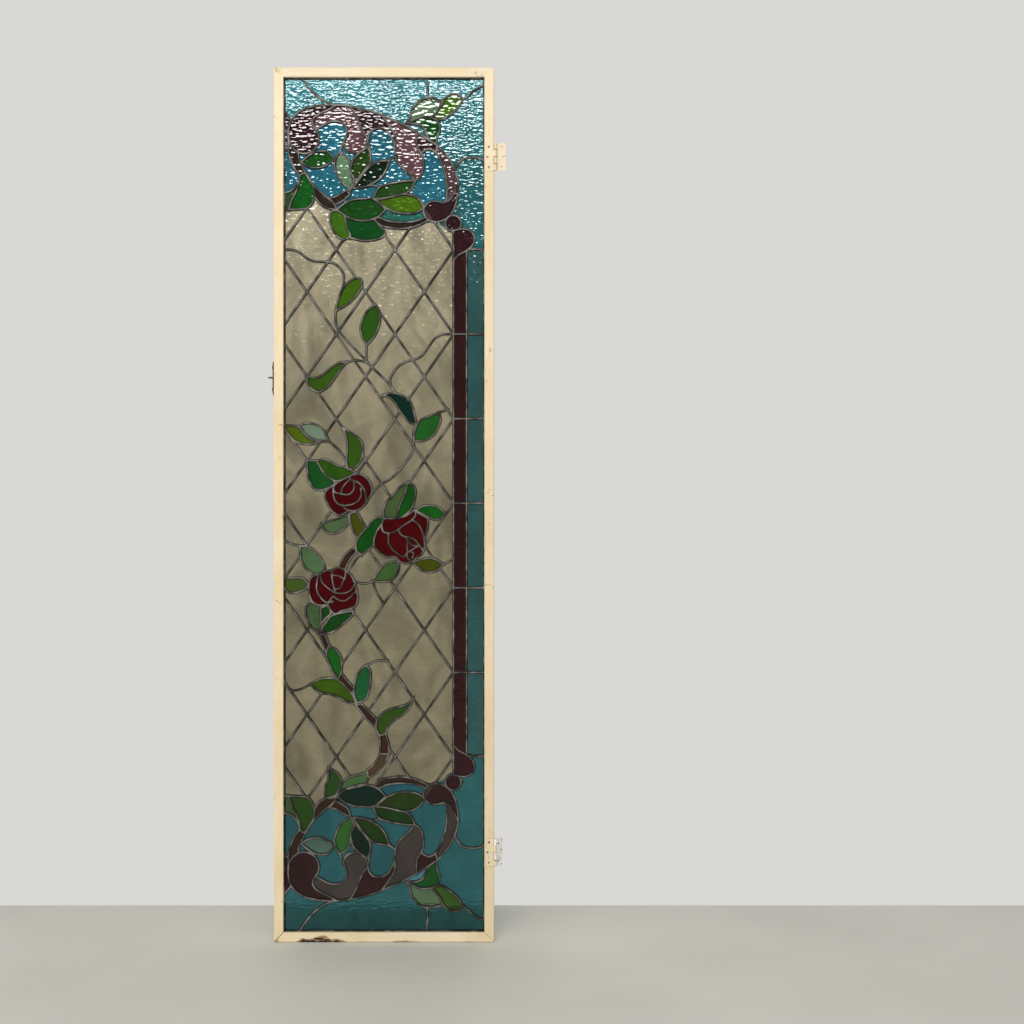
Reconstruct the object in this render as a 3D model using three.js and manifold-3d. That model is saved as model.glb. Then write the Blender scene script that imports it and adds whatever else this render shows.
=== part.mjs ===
// A leaded-light window leaf: a narrow painted wooden frame on two butt hinges, glazed with one
// leaded panel of coloured glass, roses on a diamond trellis between two scrolls.
// Millimetres, +X to the hinge side, +Y to the back, +Z up. The origin is on the back face of the
// upper hinge's free leaf, halfway up it, where that leaf is screwed to whatever carries the window.
import * as THREE from "three";
import { mergeVertices } from "three/addons/utils/BufferGeometryUtils.js";
import Module from "manifold-3d";

const wasm = await Module();
wasm.setup();
const { Manifold, Mesh: ManifoldMesh } = wasm;

// ---- Driving dimensions ----------------------------------------------------------------------
const CLEAR = 0.3; // gap between pieces that touch
const LEAF_WIDTH = 453;
const LEAF_HEIGHT = 1800;
const MEMBER_FACE = 19.5; // width of the frame as seen from the front
const MEMBER_DEPTH = 28;
const LIP = 5.5; // wood in front of the glazing
const REBATE = 7; // how far the glazing runs in behind the lip
const ARRIS = 0.8; // eased front edges
const CORNER_GAPS = { topLeft: CLEAR, topRight: CLEAR, bottomLeft: 1.8, bottomRight: 0.8 };

const GLASS = 3;
const CAME_DEPTH = 1.6; // lead in front of the glass
const CAME = 5.2; // width of a came's flange
const FINE_CAME = 4.4; // inside the roses
const BORDER_CAME = 3; // how far the border came shows inside the frame
const GLASS_GAP = 0.8; // between two glasses, in the came's heart
const SMALLEST_CELL = 60; // mm2; solder fills what is smaller
const BEAD_DEPTH = 12;

const PIN_R = 1.1;
const SHEET = 1.4; // thickness of a hinge leaf
const BARREL_R = PIN_R + CLEAR + SHEET;
const HINGE_HEIGHT = 56;
const HINGE_REACH = 21; // from the pin's axis to a leaf's free edge
const HINGE_FROM_END = 185; // hinge centre to the frame's top or bottom
const KNUCKLES = 4;
const KNUCKLE_GAP = 0.4;
const PIN_TIP = 1.6; // pin standing out of the barrel at each end
const FOLD_DEG = 45; // how far the lower free leaf is folded back
const ORIGIN_FROM_AXIS = 11;
const SCREW_HOLES = [
  { out: 13.5, up: 21 },
  { out: 16.5, up: 0 },
  { out: 13.5, up: -21 },
];
const HOLE = { front: 3, back: 1.9 };
const SHANK_R = 1.5;
const SCREW_LENGTH = 6.4;
const BORE_DEPTH = SCREW_LENGTH - SHEET + CLEAR;

const CATCH_UP = 1161; // middle of the keep above the frame's bottom
const CATCH = { height: 69, proud: 3.6, depth: 15, end: 5 };
const CATCH_SCREW = { r: 4.4, rise: 2.4, fromEnd: 12 };
const CATCH_PIN = { r: 2.1, length: 14, up: 2 };

const ROUND_SIDES = 8;
const SCREW_SIDES = 6;
const FINEST_FIT = 0.1;
const FINEST_EDGE = 0.02; // shorter edges of a cut piece of glass are closed up
const NOTCH = 14; // mm2 of a cell's corner that solder fills
const FIT = { curve: 0.5, cell: 1.9, glass: 2.2 }; // how far a polyline may stray from its curve

// ---- Where things stand ----------------------------------------------------------------------
const AXIS_X = -ORIGIN_FROM_AXIS;
const AXIS_Y = -BARREL_R;
const OUTER_RIGHT = AXIS_X - BARREL_R - KNUCKLE_GAP;
const OUTER_LEFT = OUTER_RIGHT - LEAF_WIDTH;
const FRAME_TOP = HINGE_FROM_END;
const FRAME_BOTTOM = FRAME_TOP - LEAF_HEIGHT;
const LOWER_HINGE_Z = FRAME_BOTTOM + HINGE_FROM_END;
const FRONT_Y = CLEAR;
const LEAD_Y = FRONT_Y + LIP + CLEAR;
const GLASS_Y = LEAD_Y + CAME_DEPTH + CLEAR;
const BEAD_Y = GLASS_Y + GLASS + CAME_DEPTH;
const SIGHT_WIDTH = LEAF_WIDTH - 2 * MEMBER_FACE;
const SIGHT_HEIGHT = LEAF_HEIGHT - 2 * MEMBER_FACE;
const PANEL_OVER = REBATE - 0.5; // panel beyond the sight edge, on each side

// ---- Colours ---------------------------------------------------------------------------------
const finish = (color, roughness, metalness = 0) =>
  new THREE.MeshStandardMaterial({ color, roughness, metalness });
const finishes = {
  cream: finish(0xe9d3a6, 0.5),
  primer: finish(0xe4dfd2, 0.6),
  lead: finish(0x4a4540, 0.55, 0.6),
  brass: finish(0x6b5026, 0.4, 0.9),
  steel: finish(0x9a978f, 0.35, 0.9),
  teal: finish(0x2f6a72, 0.2),
  blue: finish(0x2a7390, 0.2),
  plum: finish(0x3a2026, 0.2),
  green: finish(0x2f5a1e, 0.2),
  rose: finish(0x5e0712, 0.2),
  quarry: finish(0xb9ab84, 0.3),
};

const window = new THREE.Group();
window.name = "leaded_window_leaf";
const lowerFreeLeaf = new THREE.Group(); // turns about the lower hinge's pin
lowerFreeLeaf.position.set(AXIS_X, AXIS_Y, LOWER_HINGE_Z);
lowerFreeLeaf.rotation.z = THREE.MathUtils.degToRad(FOLD_DEG);
window.add(lowerFreeLeaf);

// ---- Solids ----------------------------------------------------------------------------------
function solid(geometry) {
  const bare = geometry.index ? geometry.clone() : geometry;
  bare.deleteAttribute("normal");
  bare.deleteAttribute("uv");
  const merged = mergeVertices(bare, 1e-4);
  return new Manifold(
    new ManifoldMesh({
      numProp: 3,
      vertProperties: new Float32Array(merged.attributes.position.array),
      triVerts: new Uint32Array(merged.index.array),
    }),
  );
}

function geometryOf(made) {
  const mesh = made.asOriginal().getMesh();
  const geometry = new THREE.BufferGeometry();
  geometry.setAttribute("position", new THREE.BufferAttribute(mesh.vertProperties, 3));
  geometry.setIndex(new THREE.BufferAttribute(mesh.triVerts, 1));
  return geometry;
}

function addPiece(name, made, material, group = window) {
  const mesh = new THREE.Mesh(made.isBufferGeometry ? made : geometryOf(made), material);
  mesh.name = name;
  group.add(mesh);
}

function largest(made) {
  return made.decompose().reduce((a, b) => (b.volume() > a.volume() ? b : a));
}

const block = (x0, y0, z0, x1, y1, z1) =>
  solid(
    new THREE.BoxGeometry(x1 - x0, y1 - y0, z1 - z0).translate((x0 + x1) / 2, (y0 + y1) / 2, (z0 + z1) / 2),
  );

// A turned piece, its profile given as radius and distance along the axis, pointing along +Z.
const turned = (profile, sides) =>
  solid(new THREE.LatheGeometry(profile.map(([r, h]) => new THREE.Vector2(r, h)), sides).rotateX(Math.PI / 2));

// A plate of the panel: an outline in the panel's own u (right) and v (up), from y0 to y1.
function plate(outline, y0, y1, holes = []) {
  const shape = new THREE.Shape(outline);
  shape.holes = holes.map((hole) => new THREE.Path(hole));
  const geometry = new THREE.ExtrudeGeometry(shape, { depth: y1 - y0, bevelEnabled: false });
  geometry.rotateX(Math.PI / 2);
  geometry.translate(OUTER_LEFT + MEMBER_FACE, y1, FRAME_BOTTOM + MEMBER_FACE);
  return solid(geometry);
}

// ---- Plane curves ----------------------------------------------------------------------------
const SAMPLES = 8;

function pairs(flat) {
  const points = [];
  for (let i = 0; i < flat.length; i += 2) points.push(new THREE.Vector2(flat[i], flat[i + 1]));
  return points;
}

function toSegment(p, a, b) {
  const along = b.clone().sub(a);
  const t = THREE.MathUtils.clamp(p.clone().sub(a).dot(along) / (along.lengthSq() || 1), 0, 1);
  return p.distanceTo(a.clone().addScaledVector(along, t));
}

// The fewest corners that keep a polyline within the fit (Douglas and Peucker's rule).
function simplified(points, fit = FIT.curve) {
  if (points.length < 3) return points;
  const first = points[0];
  const last = points[points.length - 1];
  let far = 0;
  let at = 0;
  for (let i = 1; i < points.length - 1; i++) {
    const off = toSegment(points[i], first, last);
    if (off > far) [far, at] = [off, i];
  }
  if (far <= fit) return [first, last];
  return [...simplified(points.slice(0, at + 1), fit).slice(0, -1), ...simplified(points.slice(at), fit)];
}

// A smooth run through its points, given as u, v, u, v.
function run(...flat) {
  const points = pairs(flat);
  if (points.length < 3) return points;
  const space = points.map((p) => new THREE.Vector3(p.x, p.y, 0));
  const curve = new THREE.CatmullRomCurve3(space, false, "centripetal");
  return simplified(curve.getPoints(SAMPLES * points.length).map((p) => new THREE.Vector2(p.x, p.y)));
}

// A closed outline of runs that follow each other.
function outline(...runs) {
  const points = [];
  for (const p of runs.flat()) if (!points.length || p.distanceTo(points.at(-1)) > CLEAR) points.push(p);
  if (points[0].distanceTo(points.at(-1)) <= CLEAR) points.pop();
  return THREE.ShapeUtils.isClockWise(points) ? points.reverse() : points;
}

// A leaf: its stalk end, one edge, its tip and the other edge back.
const blade = (stalk, edge, tip, back) =>
  outline(run(...stalk, ...edge, ...tip), run(...tip, ...back, ...stalk));

function circle(u, v, r, sides = ROUND_SIDES) {
  const points = [];
  for (let i = 0; i < sides; i++) {
    const turn = (2 * Math.PI * i) / sides;
    points.push(new THREE.Vector2(u + r * Math.cos(turn), v + r * Math.sin(turn)));
  }
  return points;
}

// A strip along a line as one bar for each of its stretches, with eight-sided ends.
const CAP = Math.tan(Math.PI / 8);
function bars(points, width) {
  const h = width / 2;
  return points.slice(1).map((b, i) => {
    const a = points[i];
    const along = b.clone().sub(a).setLength(h);
    const across = new THREE.Vector2(-along.y, along.x);
    const corner = (end, forward, left) => end.clone().addScaledVector(along, forward).addScaledVector(across, left);
    return [
      corner(a, -CAP, 1),
      corner(a, -1, CAP),
      corner(a, -1, -CAP),
      corner(a, -CAP, -1),
      corner(b, CAP, -1),
      corner(b, 1, -CAP),
      corner(b, 1, CAP),
      corner(b, CAP, 1),
    ];
  });
}

// An outline moved outward, its corners kept sharp up to a limit.
const MITRE_LIMIT = 3;
function grown(points, distance) {
  return points.map((p, i) => {
    const into = p.clone().sub(points.at(i - 1)).normalize();
    const out = points[(i + 1) % points.length].clone().sub(p).normalize();
    const outward = new THREE.Vector2(into.y + out.y, -into.x - out.x).normalize();
    const stretch = Math.min(1 / Math.abs(outward.x * into.y - outward.y * into.x), MITRE_LIMIT);
    return p.clone().addScaledVector(outward, distance * stretch);
  });
}

const turnsLeft = (a, b, c) => (b.x - a.x) * (c.y - a.y) > (b.y - a.y) * (c.x - a.x);
const crossing = (a, b, c, d) =>
  turnsLeft(a, b, c) !== turnsLeft(a, b, d) && turnsLeft(c, d, a) !== turnsLeft(c, d, b);

function crossesItself(points) {
  const n = points.length;
  for (let i = 0; i < n; i++)
    for (let j = i + 2; j < n; j++) {
      if ((j + 1) % n === i) continue;
      if (crossing(points[i], points[i + 1], points[j], points[(j + 1) % n])) return true;
    }
  return false;
}

// A closed outline with fewer corners, split at its first corner and the one farthest from it. Notches
// and tips of less than an area are cut off.
function trimmed(points, fit, notch = 0) {
  const reach = points.map((p) => p.distanceTo(points[0]));
  const far = reach.indexOf(Math.max(...reach));
  const there = simplified(points.slice(0, far + 1), fit);
  const back = simplified([...points.slice(far), points[0]], fit);
  const kept = [...there.slice(0, -1), ...back.slice(0, -1)];
  const cutOff = (i) =>
    Math.abs(THREE.ShapeUtils.area([kept.at(i - 1), kept[i], kept[(i + 1) % kept.length]]));
  while (kept.length > 3) {
    const areas = kept.map((_, i) => cutOff(i));
    const least = Math.min(...areas);
    if (least > notch) break;
    kept.splice(areas.indexOf(least), 1);
  }
  return crossesItself(kept) && fit > FINEST_FIT ? trimmed(points, fit / 2, notch / 4) : kept;
}

// A plate made again from its outline and holes, the small holes filled.
function tidied(made, y0, y1, fit, notch) {
  const mesh = made.getMesh();
  const at = (i) => new THREE.Vector3().fromArray(mesh.vertProperties, mesh.numProp * i);
  const onward = new Map();
  for (let t = 0; t < mesh.triVerts.length; t += 3) {
    const corners = [...mesh.triVerts.slice(t, t + 3)];
    if (corners.some((i) => at(i).y > y0 + CLEAR)) continue;
    corners.forEach((from, i) => {
      const to = corners[(i + 1) % 3];
      if (onward.get(to)?.delete(from)) return;
      onward.set(from, (onward.get(from) ?? new Set()).add(to));
    });
  }
  const loops = [];
  for (const [start, exits] of onward) {
    while (exits.size) {
      const loop = [];
      let i = start;
      do {
        const { x, z } = at(i);
        loop.push(new THREE.Vector2(x - OUTER_LEFT - MEMBER_FACE, z - FRAME_BOTTOM - MEMBER_FACE));
        const [next] = onward.get(i);
        onward.get(i).delete(next);
        i = next;
      } while (i !== start);
      const kept = trimmed(loop, fit, notch);
      if (Math.abs(THREE.ShapeUtils.area(kept)) > SMALLEST_CELL) loops.push(kept);
    }
  }
  const bySize = (a, b) => Math.abs(THREE.ShapeUtils.area(b)) - Math.abs(THREE.ShapeUtils.area(a));
  const [edge, ...holes] = loops.sort(bySize);
  const cutters = holes.map((hole) => plate(hole, y0 - CLEAR, y1 + CLEAR));
  return cutters.length ? Manifold.difference([plate(edge, y0, y1), ...cutters]) : plate(edge, y0, y1);
}

function inside(p, polygon) {
  let odd = false;
  for (let i = 0, j = polygon.length - 1; i < polygon.length; j = i++) {
    const [a, b] = [polygon[i], polygon[j]];
    if (a.y > p.y !== b.y > p.y && p.x < ((b.x - a.x) * (p.y - a.y)) / (b.y - a.y) + a.x) odd = !odd;
  }
  return odd;
}

// ---- The cartoon: outlines and lead lines of the panel ---------------------------------------
// u runs from the sight edge on the catch side, v from the bottom sight edge.
const MIRROR_V = 1769; // the lower scroll is the upper one turned over: v becomes MIRROR_V - v
const turnedOver = (points) => outline(points.map((p) => new THREE.Vector2(p.x, MIRROR_V - p.y)));
const lineTurnedOver = (points) => points.map((p) => new THREE.Vector2(p.x, MIRROR_V - p.y));

const COLUMN_LEFT = 350;
const COLUMN_RIGHT = 377;
const LATTICE = { pitch: 121, rise: 174.5, foot: 360 }; // diamonds; foot is v of a crossing at the column
const CROSS_ROWS = 7; // crossings at the column, each with a short lead across column and border

const scroll = outline(
  run(
    ...[9.5, 1634, 9, 1652, 12, 1667, 18, 1679, 29, 1690, 44, 1698, 63, 1703, 86, 1705.5, 110, 1705.5],
    ...[130, 1704, 152, 1700, 176, 1694, 198, 1686.5, 218, 1677.5, 240, 1668, 262, 1656, 283, 1643.5],
    ...[303, 1631, 318, 1620, 332, 1605, 345, 1587.5, 353, 1570, 358, 1553, 360, 1535, 358, 1515],
    ...[353, 1495, 344, 1478.5, 330, 1467.5, 315, 1464, 301, 1466.5, 291, 1476, 288, 1487, 292, 1498],
    ...[301, 1505, 312, 1507, 329, 1503.5],
  ),
  run(329, 1503.5, 335, 1509, 336.5, 1522, 335.5, 1548, 331.5, 1567, 324, 1588, 316, 1604, 308, 1611.5,
    299, 1614.5, 290, 1611, 283, 1606),
  run(283, 1606, 287, 1598, 288.5, 1585, 287, 1572, 283, 1560, 277, 1552.5, 270.5, 1549),
  run(270.5, 1549, 261, 1560, 252, 1569, 242, 1578.5, 234.5, 1588, 231, 1598, 229, 1612, 228.5, 1622,
    223, 1636.5, 215, 1648.5, 204, 1655.5, 192, 1657, 182, 1653.5, 176, 1646, 173.5, 1636),
  run(
    ...[173.5, 1636, 171.5, 1626, 167, 1617.5, 159, 1609.5, 149, 1606, 139, 1607, 131, 1611],
    ...[125.5, 1618, 123.5, 1626, 125, 1633.5, 128.5, 1641, 130.5, 1650, 128, 1659.5, 121.5, 1667],
    ...[113, 1671, 102, 1672, 90.5, 1669, 79, 1663, 66, 1655],
  ),
  run(66, 1655, 70.5, 1647, 72.5, 1638, 71.5, 1627, 66, 1617, 57, 1609.5, 44, 1605, 31, 1607, 20, 1614.5,
    12.5, 1624.5, 9.5, 1634),
);
const scrollLeads = [
  run(107, 1705, 91, 1695, 79, 1690, 67, 1682.5, 60.5, 1675, 59.5, 1665, 66, 1655),
  run(138, 1702, 145, 1689, 151.5, 1676, 157, 1662, 163, 1648, 173.5, 1636),
  run(202, 1684.5, 211, 1671, 220.5, 1658, 228, 1645, 229.5, 1630, 228.5, 1620),
  run(274, 1649, 273.5, 1630, 275, 1619, 283, 1606),
  run(317, 1621, 313, 1608),
  run(359.5, 1541, 354, 1530, 348, 1517, 340, 1508, 329, 1503.5),
];
const edgeSliver = outline(pairs([-6.5, 1612, 9.5, 1617, 9.5, 1634, 9, 1652, 14.5, 1675.5, -6.5, 1697]));
const smallBall = circle(349.5, 1461, 16.5);
const teardrop = outline(
  run(350, 1446, 361, 1448.5, 374, 1449.5, 386, 1444.5, 393, 1433, 390.5, 1418, 378, 1405, 362, 1397, 350, 1385),
);

// Leaves that spring out over the scroll, inside it, and below it.
const sprig = {
  pale: blade([253, 1668], [260, 1681, 265, 1697, 275, 1711, 289, 1719, 303, 1720], [328, 1714],
    [324, 1704, 315, 1690, 303, 1680, 285, 1681]),
  light: blade([305, 1679], [315, 1690, 324, 1704, 333, 1720, 346, 1727.5, 359, 1727], [370, 1717.5],
    [360, 1701, 346, 1687.5, 322, 1674.5]),
  hook: blade([252, 1668], [266, 1675.5, 285, 1680.5, 303, 1679, 317, 1672, 322.5, 1659, 317, 1642], [314, 1625],
    [303, 1629.5, 293.5, 1646, 285, 1661.5, 275, 1666]),
};
const hookGap = outline(pairs([262, 1656, 264, 1663, 275, 1666, 285, 1661.5, 293.5, 1646, 303, 1629.5, 283, 1643.5]));
const innerLeaves = {
  forest: blade([36, 1588], [47, 1597.5, 62, 1607, 76, 1610.5, 90, 1609], [104, 1594.5],
    [88, 1581, 67, 1575.5, 47, 1580]),
  sage: blade([138, 1532.5], [119, 1546, 108.5, 1564.5, 104, 1581, 106.5, 1594], [115, 1609.5],
    [130, 1599.5, 137, 1586, 138, 1566, 144, 1549]),
  olive: blade([148, 1545], [141, 1563, 139.5, 1578, 142, 1591, 151, 1602.5], [172.5, 1618.5],
    [178.5, 1603, 178, 1587, 168, 1572, 157, 1559]),
  night: blade([142, 1533.5], [159, 1557, 174, 1576, 190, 1587], [218, 1591.5],
    [212, 1574, 201, 1556, 183, 1543.5, 164, 1536]),
  upperTwin: blade([184, 1511.5], [188, 1521, 197, 1536, 213, 1541.5, 231, 1545.5, 250, 1548.5], [270.5, 1549],
    [265, 1535, 255, 1525, 239, 1520, 213, 1514]),
  lowerTwin: blade([192, 1509.5], [213, 1514, 239, 1520, 255, 1521, 271, 1516.5, 282, 1508], [289, 1495],
    [281, 1487, 265, 1481.5, 246, 1481.5, 228, 1485, 208, 1494.5]),
  broad: blade([109, 1489], [125, 1502, 144, 1510, 165, 1512, 184, 1511.5, 197, 1503], [210, 1490],
    [199, 1478, 186, 1470.5, 170, 1466.5, 148.5, 1468, 127.5, 1476]),
};
const edgeLeaf = outline(
  run(33, 1558.5, 39, 1564.5, 46, 1563),
  run(46, 1563, 52, 1552, 60, 1539, 63.5, 1525, 61.5, 1510, 54, 1497, 47.5, 1491.5),
  run(47.5, 1491.5, 28, 1490, 9.5, 1489.5),
  run(9.5, 1489.5, 16, 1509, 26.5, 1530, 32, 1546, 33, 1558.5),
);
const upperHanging = {
  left: blade([122, 1426.5], [111, 1433.5, 98, 1454, 94.5, 1470, 98, 1485], [109, 1489],
    [124, 1478, 127, 1466, 130.5, 1451, 137, 1435]),
  right: outline(
    run(137, 1431.5, 130.5, 1451, 127, 1466, 127.5, 1476),
    run(127.5, 1476, 148.5, 1468, 170, 1466.5, 186, 1470.5),
    run(186, 1470.5, 197, 1456, 206, 1448, 209.5, 1438.5),
    run(209.5, 1438.5, 199, 1431, 180.5, 1426, 159, 1426, 137, 1431.5),
  ),
};
const lowerHanging = {
  left: blade([94, 275], [85.5, 279, 84.5, 288, 86, 301, 92, 317], [91.5, 338],
    [106, 329.5, 117, 317, 116, 303, 110, 286, 103, 276]),
  right: blade([115, 291], [121, 306, 131, 316.5, 149, 322], [173, 328], [174, 316, 169, 305, 157, 299.5, 136, 295.5]),
};
const band = outline(
  run(186, 1470.5, 196, 1473, 212, 1466.5, 239, 1463, 265, 1464.5, 287, 1470.5, 294, 1474),
  run(297, 1467, 281, 1458.5, 260, 1452, 239, 1450, 217.5, 1452.5, 199, 1457.5, 186, 1470.5),
);
const branchLeads = [
  run(10, 1632, 9, 1611, 14, 1591, 21, 1575.5, 33, 1558.5),
  run(29.5, 1607, 31, 1594, 37, 1581, 46, 1563, 61, 1541, 77, 1525, 90, 1513.5),
  run(63.5, 1535, 64, 1517, 74, 1502, 88, 1493, 109, 1489),
  run(90, 1513.5, 101, 1505, 109, 1489),
  run(138, 1532.5, 125, 1527, 114, 1519.5, 101, 1514.5, 90, 1513.5),
  run(138, 1532.5, 133, 1517, 122, 1508, 105, 1499),
];
const innerLeads = [run(0, 1694, 14.5, 1676), run(0, 1612, 10, 1617), run(218, 1591.5, 230.5, 1600)];
const skyLeads = [
  run(35, 1764, 43, 1752, 55, 1737, 71, 1722, 88, 1711.5, 104, 1705.5),
  run(294.5, 1764, 297, 1741, 296, 1719.5),
  run(368, 1715.5, 377, 1722, 388, 1732, 401, 1741, 416, 1748.5),
  run(352.5, 1572, 358, 1582, 366, 1591, 377, 1596, 398, 1597, 410, 1592, 417, 1586),
  run(384, 1407.5, 417, 1407.5),
];

// The middle of the panel: tendrils, leaves, branches and roses on the trellis.
const middleLeaves = {
  bud: blade([107.5, 1281], [110, 1297.5, 115.5, 1313.5, 123.5, 1331, 134, 1341], [148, 1350],
    [159.5, 1346, 161, 1334, 154, 1318.5, 138, 1300, 119.5, 1287]),
  drop: blade([170, 1210], [161.5, 1226, 158, 1244.5, 162, 1263, 172, 1281], [188.5, 1294],
    [196.5, 1279, 198.5, 1260, 193.5, 1241.5, 183, 1223]),
  wave: blade([47.5, 1146], [57, 1143.5, 69, 1143.5, 82, 1151, 98, 1164, 114, 1173.5], [130, 1175],
    [120, 1164, 110, 1150, 98.5, 1132.5, 85, 1119, 70.5, 1113.5, 56, 1120.5, 48.5, 1132.5]),
  spruce: blade([206, 1106.5], [216, 1110, 230, 1110.5, 244, 1106, 258.5, 1096.5, 265.5, 1082, 270.5, 1063], [273, 1046],
    [260, 1050, 249.5, 1060.5, 239, 1074, 231, 1088.5, 221, 1100]),
  fresh: blade([268.5, 1012], [269.5, 1029, 274, 1045, 284, 1056.5, 302.5, 1064.5], [319.5, 1070.5],
    [323.5, 1060, 318.5, 1040, 308, 1023.5, 293, 1014, 279, 1011.5]),
  moss: blade([-3, 1045], [16, 1044, 30.5, 1041.5, 38, 1032, 53, 1016], [71, 1010.5],
    [61, 1006, 40, 1006, 23, 1011.5, 10, 1026]),
  mist: blade([30.5, 1041.5], [40, 1047.5, 53, 1049, 69, 1044.5, 84, 1032.5], [93, 1011.5],
    [75, 1013, 56, 1018, 41, 1029]),
  crescent: blade([133, 953], [129.5, 963, 130, 984, 131.5, 1005, 127.5, 1023.5], [122, 1040],
    [138, 1029, 154, 1018, 162.5, 1004, 162, 984, 156.5, 968, 146, 957]),
  hollow: blade([47.5, 972], [48, 952, 53, 928, 61, 915, 74, 910.5, 90, 914.5], [106, 924],
    [103, 930.5, 88, 939.5, 77, 954.5, 66.5, 970.5]),
  ridge: blade([66.5, 970.5], [82, 975, 95.5, 969.5, 111.5, 961, 130, 956.5], [149, 946],
    [133, 937, 117, 930.5, 103, 930.5, 88, 939.5, 77, 954.5]),
  lichen: outline(run(205.5, 853, 205.5, 869, 210, 884.5, 218.5, 894, 228, 905, 240, 918, 256, 927),
    run(256, 927, 250, 905, 240.5, 882, 231, 853)),
  emerald: blade([231, 853], [240.5, 882, 250, 905], [256, 927],
    [268, 920, 272, 906.5, 269.5, 890.5, 265.5, 876, 254.5, 863, 240, 854.5]),
  fern: blade([270.5, 867.5], [284, 876.5, 302.5, 879, 318.5, 875.5], [332, 863.5],
    [324, 853, 310.5, 849.5, 295, 856.5, 282, 863.5]),
  autumn: blade([265.5, 762.5], [281, 766.5, 302.5, 770.5, 316, 766.5], [329.5, 757.5],
    [318.5, 745.5, 302.5, 741, 286.5, 744, 274, 752]),
  dusk: blade([183, 722.5], [188.5, 733.5, 201.5, 752, 217.5, 762.5], [236.5, 763.5],
    [237.5, 749, 231, 733.5, 220.5, 724, 207, 721.5]),
  bright: blade([159.5, 776], [151, 784, 148.5, 799, 154, 813, 164.5, 826.5, 176.5, 837.5, 183, 849, 191.5, 854.5],
    [205, 853.5], [202, 840, 194, 827, 187.5, 811, 184, 797, 172.5, 786.5]),
  narrow: blade([152.5, 810], [143.5, 826.5, 136.5, 845], [135.5, 862], [148.5, 865.5, 159.5, 850, 167.5, 831]),
  grey: blade([77, 841], [90, 846, 111.5, 851.5], [133.5, 860.5], [132.5, 842, 122, 830, 106, 821, 93, 822, 82, 830.5]),
  shade: blade([33, 794], [34.5, 770.5, 42.5, 752], [58, 737.5], [72, 738.5, 84.5, 747, 77, 768, 64, 784, 48, 794]),
  verge: blade([-3, 715], [3, 727, 21, 730, 40, 728], [51, 715], [44, 706, 26.5, 699.5, 9, 700]),
  drab: blade([70.5, 616.5], [53, 630, 46.5, 646, 45, 667], [54, 682], [69, 673, 75.5, 661, 75.5, 635]),
  inner: blade([77.5, 636], [76, 650], [76.5, 668], [91, 671, 96.5, 656, 86, 646]),
  lance: blade([79, 619], [87.5, 638, 98, 651, 117, 657], [144, 662], [140.5, 651, 119.5, 632.5, 103.5, 619.5, 90, 615.5]),
  jade: blade([111.5, 520], [101, 534, 93, 552.5, 87.5, 571], [92, 588.5], [106, 582, 117, 568.5, 119.5, 555, 118, 534]),
  willow: blade([54.5, 510], [71.5, 519.5, 90, 523, 106, 522, 117, 515.5, 130, 502, 143, 486], [149, 470],
    [132.5, 473, 111.5, 483.5, 93, 490, 77, 491.5, 64, 500.5]),
  reed: blade([151, 472], [145, 487, 145, 500, 147, 516, 154, 534, 162, 544.5], [171, 549],
    [178.5, 537, 178.5, 518, 175, 494, 167.5, 478]),
  crest: blade([197, 404], [190, 420, 192, 436, 202, 449, 218, 458.5, 239, 463.5, 254.5, 469], [266, 480],
    [261, 465, 249.5, 450.5, 228.5, 436, 215, 422.5, 209.5, 409]),
};
const branches = {
  upper: outline(run(112, 751, 122, 771, 133, 784, 147, 792), run(151, 783, 140.5, 773, 132.5, 760, 126, 746)),
  second: outline(run(87, 577, 80, 595, 73, 614), run(86, 612, 90.5, 598, 95, 587)),
  third: outline(run(113.5, 519, 127.5, 505.5, 141, 491), run(145, 501.5, 130, 518, 119, 533)),
  fourth: outline(run(149, 467, 164.5, 446.5, 180.5, 429, 189, 421), run(192, 436, 183, 446.5, 170, 459.5, 160, 470)),
  fifth: outline(run(196.5, 403, 199.5, 383, 199, 366.5), run(217, 366.5, 216, 388, 210, 408)),
  root: outline(run(199, 366.5, 196, 361, 186, 345.5, 171, 331.5),
    run(173.5, 316, 180.5, 320, 196.5, 332.5, 210, 351, 217, 366.5)),
};
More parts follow.
